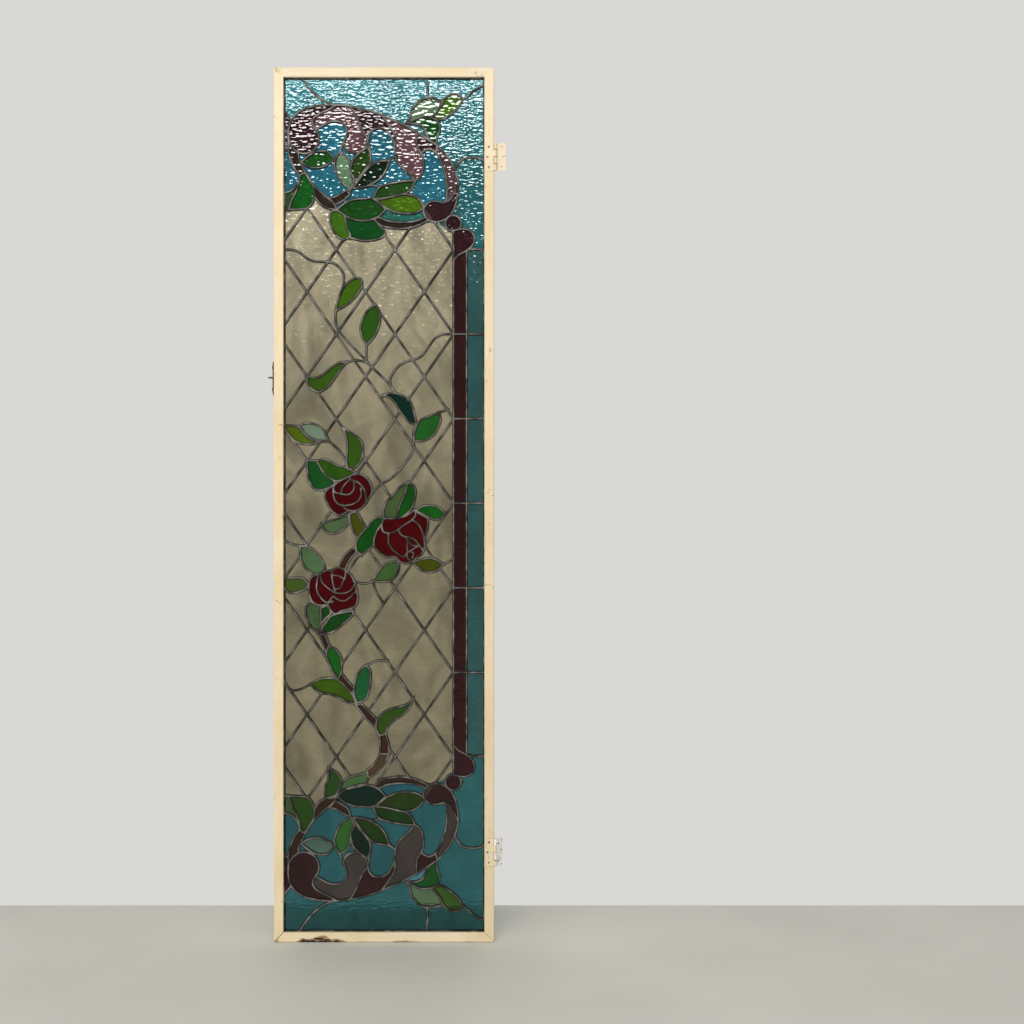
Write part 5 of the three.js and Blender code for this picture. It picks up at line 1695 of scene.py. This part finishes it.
# ---- Glass ----
class Tints:
    """Colours seen through the glass with a pale wall behind it; a pair is upper and lower end."""

    SKY = ((38, 92, 96), (42, 89, 91))
    # Painted sheen: the top sky's paler colour stands in for the lamp's glare on the upper panes.
    SKY_TOP_SHEEN = (60, 134, 142)
    GARDEN = ((38, 98, 114), (38, 83, 87))
    HOOK_GAP = (66, 108, 116)
    POOL = ((38, 96, 86), (34, 80, 92))
    BORDER = (46, 81, 81)
    COLUMN = (47, 22, 22)
    PLUM = (46, 22, 26)
    ROSE = (66, 2, 5)
    BRANCH = ((54, 31, 22), (72, 54, 36))  # the branches, and the root
    STEM = ((44, 33, 27), (50, 33, 23))
    # Painted light: the trellis panes pale towards the top, where more light falls on and behind
    # them; it isn't the glass's own tint.
    QUARRY = ((125, 118, 95), (196, 188, 163))  # from the foot of the panel to its top
    SCROLL = (
        ((52, 28, 34), (44, 25, 25)),
        ((92, 66, 70), (60, 54, 51)),
        ((52, 28, 34), (44, 25, 25)),
        ((92, 66, 70), (60, 54, 51)),
        ((50, 28, 34), (44, 25, 25)),
        ((78, 60, 60), (60, 52, 50)),
        ((48, 28, 32), (44, 25, 25)),
    )
    LEAVES = {
        "pale": ((94, 118, 91), (75, 97, 70)),
        "light": ((66, 99, 22), (49, 78, 27)),
        "hook": ((22, 69, 27), (22, 68, 27)),
        "forest": ((25, 76, 27), (71, 95, 85)),
        "sage": ((92, 118, 92), (41, 81, 34)),
        "olive": ((39, 64, 22), (12, 34, 22)),
        "night": ((15, 35, 22), (27, 52, 16)),
        "upperTwin": ((35, 69, 27), (22, 52, 19)),
        "lowerTwin": ((67, 101, 18), (34, 53, 16)),
        "broad": ((25, 69, 24), (12, 34, 27)),
        "edge": ((18, 80, 25), (38, 68, 16)),
        "corner": ((49, 74, 39), (59, 81, 44)),
        "left": ((59, 101, 22), (37, 64, 24)),
        "right": ((15, 69, 25), (64, 96, 56)),
    }
    MIDDLE = {
        "bud": (62, 96, 19),
        "drop": (40, 79, 19),
        "wave": (52, 83, 19),
        "spruce": (10, 41, 31),
        "fresh": (31, 86, 31),
        "moss": (77, 96, 15),
        "mist": (103, 120, 100),
        "crescent": (48, 79, 19),
        "hollow": (22, 74, 28),
        "ridge": (43, 79, 15),
        "lichen": (65, 83, 48),
        "emerald": (19, 74, 19),
        "fern": (19, 83, 19),
        "autumn": (65, 71, 9),
        "dusk": (60, 88, 45),
        "bright": (15, 71, 15),
        "narrow": (65, 71, 10),
        "grey": (74, 96, 62),
        "shade": (74, 100, 65),
        "verge": (62, 83, 31),
        "drab": (65, 88, 53),
        "inner": (19, 65, 19),
        "lance": (19, 65, 19),
        "jade": (22, 83, 22),
        "willow": (52, 79, 10),
        "reed": (26, 83, 45),
        "crest": (45, 71, 19),
    }


@dataclass
class GlassWork:
    """The panes: the panel cut along every lead line, each pane given its family and tint."""

    place: Place
    lines: LeadLines
    behind: float = 0.62  # brightness of what stands behind the window
    clearest: float = 0.97  # no pane lets more light through
    run_on: float = 4.0
    speck: float = 1e-4  # a smaller bit of glass is dropped
    weld: float = 0.01  # nearer corners are one corner
    inset: float = 1.0 - OVER  # the glass's edge, which lies outside the sight edge
    ends_from: float = 1407.5  # height above which the column gives way to the sky
    # Painted sheen on the top sky: where it starts, and how slowly it pales in.
    sky_sheen_from: tuple[float, float] = (1560, 200)  # where the top sky turns paler, and how slowly
    tints: dict[Family, list[tuple[list[Point], Colour]]] = field(default_factory=dict)

    def run_past(self, points: Line) -> Line:
        """A lead line with both ends run on a little, so that it parts the panes it reaches.

        Args:
            points: the line.

        Returns:
            The longer line.
        """
        first, last = Vector(points[0]), Vector(points[-1])
        start = first + (first - Vector(points[1])).normalized() * self.run_on
        end = last + (last - Vector(points[-2])).normalized() * self.run_on
        return [tuple(start), *points, tuple(end)]

    def claims(self) -> list[tuple[Line, Family, Rgb]]:
        """The pieces of the cartoon with their family and colour.

        Returns:
            The pieces, the ones on top first.
        """
        c, t = Cartoon, Tints
        found: list[tuple[Line, Family, Rgb]] = []

        def claim(family: Family, *pieces: tuple[Line, Rgb]) -> None:
            """Adds pieces of one family."""
            found.extend((piece, family, colour) for piece, colour in pieces)

        inner = {**c.INNER_LEAVES, "edge": c.EDGE_LEAF, "corner": c.CORNER_LEAF}
        stems = (c.TOP_BRANCH, c.TWIG, c.SIDE_STEM, c.BAND)
        plums = (c.SMALL_BALL, c.TEARDROP, c.EDGE_SLIVER)
        for end, (turn, hanging) in enumerate(zip(ENDS, (c.UPPER_HANGING, c.LOWER_HANGING))):
            claim(Family.LEAF, *((turn(p), t.LEAVES[name][end]) for name, p in c.SPRIG.items()))
            claim(Family.GARDEN, (turn(c.HOOK_GAP), t.HOOK_GAP))
            claim(Family.PLUM, *((turn(p), t.PLUM) for p in plums))
            claim(Family.BARK, *((turn(p), t.STEM[end]) for p in stems))
            claim(Family.LEAF, *((turn(p), t.LEAVES[name][end]) for name, p in inner.items()))
            claim(Family.LEAF, *((p, t.LEAVES[name][end]) for name, p in hanging.items()))
            claim(Family.GARDEN, (turn(c.SHADED_POOL), t.POOL[end]))
        claim(Family.ROSE, *((rose["edge"], t.ROSE) for rose in c.ROSES.values()))
        claim(Family.LEAF, *((p, t.MIDDLE[name]) for name, p in c.MIDDLE_LEAVES.items()))
        claim(Family.BARK, *((p, t.BRANCH[name == "root"]) for name, p in c.BRANCHES.items()))
        return found

    def ground(self, p: Point) -> tuple[Family, Sequence[float]]:
        """The family and colour of the glass between the pieces, at a point.

        Args:
            p: a point of the panel.

        Returns:
            The family, and the colour seen through it.
        """
        u, v = p
        c, t = Cartoon, Tints
        end = 1 if v < MIRROR_V / 2 else 0
        height = MIRROR_V - v if end else v
        if height < self.ends_from and u > COLUMN[0]:
            return (Family.PLUM, t.COLUMN) if u < COLUMN[1] else (Family.SKY, t.BORDER)
        if u < COLUMN[0] and height < height_on(c.TRELLIS_TOP, u):
            # Painted light: the trellis tint pales towards the top.
            share = (v / SIGHT[1]) ** 3
            return Family.QUARRY, tuple(a + (b - a) * share for a, b in zip(*t.QUARRY))
        if within(np.array([(u, height)]), c.GARDEN)[0]:
            return Family.GARDEN, t.GARDEN[end]
        # The upper sky pales into its painted sheen.
        start, reach = self.sky_sheen_from
        share = min(1.0, max(0.0, (height - start) / reach)) * (1 - end)
        return Family.SKY, tuple(a + (b - a) * share for a, b in zip(t.SKY[end], t.SKY_TOP_SHEEN))

    def scroll_tint(self, q: Point, end: int) -> Rgb:
        """The colour of the scroll at a point: each inner lead passed starts the next part.

        Args:
            q: the point, in the upper end's drawing.
            end: 0 for the upper scroll, 1 for the lower one.

        Returns:
            The colour seen through it.
        """
        passed = 0
        for lead, tail in zip(Cartoon.SCROLL_LEADS, Cartoon.SCROLL_PARTINGS):
            rising = sorted((v, u) for u, v in [*lead, *tail])
            passed += q[0] > height_on(rising, q[1])
        return Tints.SCROLL[passed][end]

    def rings(self) -> list[Line]:
        """Cuts the panel along every lead line.

        Returns:
            The outlines of the bits of glass, inside the panel and round it.
        """
        corners: list[Vector] = []
        edges: list[tuple[int, int]] = []
        left = foot = self.inset
        right, top = SIGHT[0] - self.inset, SIGHT[1] - self.inset
        rim = [(left, foot), (right, foot), (right, top), (left, top), (left, foot)]
        for points in (rim, *(self.run_past(line) for line in self.lines.drawn)):
            start = len(corners)
            corners += [Vector(p) for p in points]
            edges += [(start + i, start + i + 1) for i in range(len(points) - 1)]
        points, _, faces, _, _, _ = geometry.delaunay_2d_cdt(corners, edges, [], 0, 1e-3)
        return [[(points[i].x, points[i].y) for i in face] for face in faces]

    def cut(self) -> None:
        """Cuts the panel into panes and sorts them by family."""
        rings = self.rings()
        middles = np.array(rings).mean(1)
        kinds: list[Optional[tuple[Family, Sequence[float]]]] = [None] * len(rings)
        for piece, family, colour in self.claims():
            for i in np.nonzero(within(middles, piece))[0]:
                kinds[i] = kinds[i] or (family, colour)
        scrolls = [within(middles, turn(Cartoon.SCROLL)) for turn in ENDS]
        low, right, top = self.inset, SIGHT[0] - self.inset, SIGHT[1] - self.inset
        for i, (ring, (u, v)) in enumerate(zip(rings, middles)):
            if not (low < u < right and low < v < top):
                continue
            if kinds[i] is None and (scrolls[0][i] or scrolls[1][i]):
                end = int(scrolls[1][i])
                tint = self.scroll_tint((u, MIRROR_V - v if end else v), end)
                kinds[i] = (Family.PLUM, tint)
            family, colour = kinds[i] or self.ground((u, v))
            through = tuple(min(self.clearest, c / self.behind) for c in linear(colour))
            self.tints.setdefault(family, []).append((ring, through))

    def sheet(self, family: Family) -> bpy.types.Mesh:
        """One family's panes as a mesh of the glass's thickness, with each pane's tint on it.

        Args:
            family: the kind of glass.

        Returns:
            The mesh, in place.
        """
        bm = bmesh.new()
        layer = bm.loops.layers.float_color.new("tint")
        lost: list[bmesh.types.BMFace] = []
        for ring, through in self.tints[family]:
            face = bm.faces.new([bm.verts.new((u, v, 0)) for u, v in ring])
            for loop in face.loops:
                loop[layer] = (*through, 1)
            if face.calc_area() < self.speck:
                lost.append(face)
        bmesh.ops.delete(bm, geom=lost, context="FACES")
        bmesh.ops.remove_doubles(bm, verts=bm.verts, dist=self.weld)
        bmesh.ops.recalc_face_normals(bm, faces=bm.faces)
        if sum(f.normal.z for f in bm.faces) < 0:
            bmesh.ops.reverse_faces(bm, faces=bm.faces)
        thickness = (self.place.glass[1] - self.place.glass[0]) / MM
        bmesh.ops.solidify(bm, geom=bm.faces[:], thickness=thickness)
        mesh = as_mesh(bm, family.value)
        low = min(v.co.z for v in mesh.vertices)
        mesh.transform(Matrix.Translation((0, 0, -low)))
        self.place.stand(mesh, self.place.glass[1])
        return mesh

    def owners(self) -> dict[Family, list[str]]:
        """Which solids each family stands for.

        Returns:
            The nodes' names, with every glass node in one family.
        """
        ends = ("upper", "lower")
        found = {
            Family.SKY: [*(f"{end}_sky_glass" for end in ends), "border_glass"],
            Family.GARDEN: [f"{end}_garden_glass" for end in ends],
            Family.PLUM: [
                *(f"{end}_scroll_glass" for end in ends),
                *(f"{end}_finial_glass" for end in ends),
                "column_glass",
            ],
            Family.ROSE: ["upper_rose_glass", "right_rose_glass", "lower_rose_glass"],
            Family.BARK: ["root_branch_glass"],
            Family.QUARRY: ["trellis_glass"],
        }
        taken = {name for names in found.values() for name in names}
        glass = [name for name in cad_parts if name.endswith("_glass")]
        found[Family.LEAF] = [name for name in glass if name not in taken]
        return found

    def build(self) -> list[bpy.types.Object]:
        """Makes the sheet of each family, dressed and standing for the solid glass.

        Returns:
            The pieces.
        """
        self.cut()
        looks = {
            Family.SKY: GlassFinish("sky_glass_look", pebble=92, relief=0.00078, streak=0.35),
            Family.GARDEN: GlassFinish("garden_glass_look", pebble=84, relief=0.0006, streak=0.6),
            Family.PLUM: GlassFinish("plum_glass_look", pebble=80, relief=0.0007, streak=0.5),
            Family.LEAF: GlassFinish("leaf_glass_look", pebble=70, relief=0.0006, streak=0.8),
            Family.ROSE: GlassFinish("rose_glass_look", pebble=60, relief=0.0005, streak=0.4),
            Family.BARK: GlassFinish("branch_glass_look", pebble=80, relief=0.0006, streak=0.5),
            Family.QUARRY: GlassFinish(
                "trellis_glass_look",
                pebble=74,
                relief=0.0008,
                streak=0.9,
                roughness=0.08,
                mottle_and_wall_shadow=0.3,
            ),
        }
        owners = self.owners()
        made = []
        for family, look in looks.items():
            sheet = self.sheet(family)
            piece = ride_on_sash(family.value, sheet, look.make())
            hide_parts(*owners[family])
            made.append(piece)
        return made


# ---- Joinery and ironmongery ----
@dataclass
class Joinery:
    """The painted frame and its glazing beads."""

    rot: float = 0.0105  # how high the rot reaches in the bottom rail

    def dress(self) -> list[str]:
        """Paints the frame's members, each along its own grain: the top rail a darker cream as
        painted shade against the lamp above, the beads a paler cream as a painted highlight on the
        frame's inner edge, and the foot a paler cream with its rot.

        Returns:
            The names of what it painted.
        """
        level, rot = Grain.LEVEL, Rot(self.rot)
        stile = PaintFinish("cream_paint_stile").make()
        # The top rail's darker cream is painted shade, not a different paint.
        top = PaintFinish("cream_paint_rail_shaded", level, (230, 216, 190)).make()
        foot = PaintFinish("cream_paint_foot", level, (252, 240, 212), rot=rot).make()
        # The beads' paler cream is a painted highlight along the inner edge.
        bead = PaintFinish("cream_paint_bead", colour=(250, 238, 208)).make()
        names = [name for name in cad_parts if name.startswith(("frame_", "bead_"))]
        for name in names:
            member = stile if "stile" in name else foot if "bottom" in name else top
            redress(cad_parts[name], bead if name.startswith("bead_") else member)
        return names


class Fitting(Enum):
    """Kinds of fitting, each with the name of its finish."""

    UPPER_HINGE = "upper_hinge_paint_look"
    LOWER_HINGE = "lower_hinge_paint_look"
    FREE_LEAF = "hinge_primer_look"
    HINGE_SCREW = "hinge_screw_look"
    PIN = "pin_steel_look"
    KEEP = "keep_brass_look"
    KEEP_SCREW = "keep_screw_look"

    @classmethod
    def of(cls, name: str) -> "Optional[Fitting]":
        """The kind of fitting that a node is.

        Args:
            name: the node's name.

        Returns:
            Its kind, or None where it isn't a fitting.
        """
        if name.startswith(("frame_", "bead_")):
            return None
        if name.endswith("_pin"):
            return cls.PIN
        if name.startswith("catch"):
            return cls.KEEP_SCREW if "screw" in name else cls.KEEP
        if "_hinge_" not in name:
            return None
        if "screw" in name:
            return cls.HINGE_SCREW
        if name == "lower_hinge_free_leaf":
            return cls.FREE_LEAF
        return cls.UPPER_HINGE if name.startswith("upper") else cls.LOWER_HINGE


@dataclass
class Ironmongery:
    """Hinges, their pins and screws, and the catch keep."""

    cream: Rgb = (238, 220, 184)  # house paint run over the hinges

    def finish(self, kind: Fitting) -> PrimerFinish | MetalFinish:
        """The finish of a kind of fitting.

        Args:
            kind: the kind.

        Returns:
            Its finish.
        """
        look = kind.value
        pins = {Fitting.UPPER_HINGE: "upper_hinge_pin", Fitting.LOWER_HINGE: "lower_hinge_pin"}
        if kind in pins:
            barrel = Knuckles(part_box(pins[kind]))
            return PrimerFinish(look, self.cream, (150, 118, 78), chips=0.7, knuckles=barrel)
        if kind is Fitting.FREE_LEAF:
            return PrimerFinish(look, (255, 254, 250), (84, 72, 60), chips=0.62)
        if kind is Fitting.HINGE_SCREW:
            return PrimerFinish(look, (178, 150, 112), (84, 66, 48), chips=0.54)
        if kind is Fitting.PIN:
            return MetalFinish(look, (196, 192, 182), (120, 112, 100))
        bright, dull, roughness, spots = (
            ((112, 82, 50), (48, 34, 22), 0.45, 160)
            if kind is Fitting.KEEP
            else ((84, 66, 44), (34, 26, 18), 0.4, 200)
        )
        return MetalFinish(look, bright, dull, roughness, metallic=0.7, spots=spots)

    def dress(self) -> list[str]:
        """Gives each fitting its finish.

        Returns:
            The names of what it dressed.
        """
        made = {kind: self.finish(kind).make() for kind in Fitting}
        kinds = {name: Fitting.of(name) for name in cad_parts}
        names = [name for name, kind in kinds.items() if kind]
        for name in names:
            redress(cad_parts[name], made[kinds[name]])
        return names


# ---- Studio ----
def mirrored(tree: bpy.types.NodeTree) -> Socket:
    """Whether a ray was mirrored and hasn't gone through glass since.

    Args:
        tree: the node tree to read it in.

    Returns:
        The socket of 1 for such a ray and 0 for any other.
    """
    paths = tree.nodes.new("ShaderNodeLightPath")
    share = tree.nodes.new("ShaderNodeMath")
    share.operation = "SUBTRACT"
    share.use_clamp = True
    tree.links.new(paths.outputs["Is Glossy Ray"], share.inputs[0])
    tree.links.new(paths.outputs["Is Transmission Ray"], share.inputs[1])
    return share.outputs["Value"]


@dataclass(frozen=True)
class Lamp:
    """A soft rectangular light."""

    name: str
    at: Vector
    to: Vector
    size: tuple[float, float]
    watts: float

    def hang(self) -> None:
        """Hangs it where it belongs, pointing at its mark."""
        data = bpy.data.lights.new(self.name, "AREA")
        data.shape = "RECTANGLE"
        data.size, data.size_y = self.size
        data.energy = self.watts
        lamp = linked(self.name, data)
        lamp.location = self.at
        lamp.rotation_euler = (self.to - self.at).to_track_quat("-Z", "Y").to_euler()


@dataclass
class Studio:
    """A pale floor that ends where a wall would stand, a pale surround, lights and the camera."""

    floor_reach: float = 0.217  # how far the floor runs on behind the window
    floor_half: float = 3.0
    floor_drop: float = 0.0005  # gap between it and the window's foot
    floor_tones: tuple[Rgb, Rgb] = ((208, 207, 198), (216, 215, 206))
    # The floor's colour in reflections: painted shade for the dim room that the gloss mirrors.
    floor_mirrored: Rgb = (112, 111, 106)
    surround_tone: Rgb = (217, 216, 214)
    room: float = 0.09  # how bright the room is that the gloss mirrors, next to the wall
    key_at: tuple[float, float, float] = (-2.3, -2.6, -0.85)  # across and up from the middle
    key_size: tuple[float, float] = (1.0, 1.0)
    key_watts: float = 66
    glare_at: tuple[float, float, float] = (-0.2, -2.3, 1.06)  # up from the window's top
    glare_size: tuple[float, float] = (1.4, 0.27)
    glare_watts: float = 29
    glare_drop: float = 0.2  # how far below the top it points
    lens: float = 39.3
    away: float = 2.3
    half_leaf: float = 0.2265  # from the leaf's outer edge to its middle
    aside: float = 0.2637  # from there to the camera, which stands between the pair of leaves
    eye: float = 0.885  # height of the camera

    def lay_floor(self) -> None:
        """Lays the floor under the window."""
        bm = bmesh.new()
        depth = self.floor_reach - self.floor_half
        at = Vector((0, depth, CAD_BOX[0].z - self.floor_drop))
        place = Matrix.Translation(at)
        bmesh.ops.create_grid(bm, x_segments=2, y_segments=2, size=self.floor_half, matrix=place)
        piece = linked("floor", as_mesh(bm, "floor"))
        s = Shader("floor_look", 0.6)
        cloud = s.ramp(s.noise(3, detail=3), 0.3, 0.7)
        pale = s.blend(cloud, *(linear(tone) for tone in self.floor_tones))
        # Painted shade: the floor shows darker where it is seen in reflections.
        seen = s.blend(mirrored(s.tree), pale, linear(self.floor_mirrored))
        s.link(seen, s.skin.inputs["Base Color"])
        piece.data.materials.append(s.material)

    def hang_surround(self) -> None:
        """Sets the surround, which is dimmer for mirrored rays."""
        world = bpy.data.worlds.new("surround")
        world.use_nodes = True
        tree = world.node_tree
        background = tree.nodes["Background"]
        background.inputs["Color"].default_value = (*linear(self.surround_tone), 1)
        dimmed = tree.nodes.new("ShaderNodeMapRange")
        dimmed.inputs["To Min"].default_value = 1.0
        dimmed.inputs["To Max"].default_value = self.room
        tree.links.new(mirrored(tree), dimmed.inputs["Value"])
        tree.links.new(dimmed.outputs["Result"], background.inputs["Strength"])
        bpy.context.scene.world = world

    def hang_lamps(self) -> None:
        """Hangs a low lamp at the left and a long one above, for the glare on the top panes."""
        low, high = CAD_BOX
        middle = (low + high) / 2
        x, y, z = self.key_at
        key_at = Vector((middle.x + x, y, middle.z + z))
        Lamp("key", key_at, middle, self.key_size, self.key_watts).hang()
        x, y, z = self.glare_at
        glare_at = Vector((middle.x + x, y, high.z + z))
        glare_to = Vector((middle.x, 0, high.z - self.glare_drop))
        Lamp("window_glare", glare_at, glare_to, self.glare_size, self.glare_watts).hang()

    def set_camera(self) -> None:
        """Stands the camera square to the window."""
        data = bpy.data.cameras.new("camera")
        data.lens = self.lens
        camera = linked("camera", data)
        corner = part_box("frame_catch_stile")[0]
        camera.location = (
            corner.x + self.half_leaf + self.aside,
            corner.y - self.away,
            CAD_BOX[0].z + self.eye,
        )
        camera.rotation_euler = (math.pi / 2, 0, 0)
        bpy.context.scene.camera = camera
        bpy.context.scene.view_settings.view_transform = "Standard"

    def build(self) -> None:
        """Sets the floor, surround, lights and camera."""
        self.lay_floor()
        self.hang_surround()
        self.hang_lamps()
        self.set_camera()


def main() -> None:
    """Builds and dresses the window, then the studio round it."""
    logging.basicConfig(level=logging.INFO, format="%(message)s")
    place = Place.from_frame()
    lines = LeadLines()
    lines.lay_all()
    LOG.info("%d leads laid", len(lines.laid))
    glass = GlassWork(place, lines).build()
    cames = LeadWork(place, lines)
    behind = (place.behind(cames.behind_crown), place.behind(cames.behind_flat))
    curved = LeadFinish("curved_lead_look", place.lead, behind)
    straight = LeadFinish("straight_lead_look", place.lead, behind, (98, 90, 74), (20, 17, 13))
    lead = cames.build(curved.make(), straight.make())
    for piece in (*glass, lead):
        LOG.info("%s: %d faces", piece.name, len(piece.data.polygons))
    for name in (*Joinery().dress(), *Ironmongery().dress()):
        LOG.info("%s dressed", name)
    Studio().build()


if __name__ == "__main__":
    main()
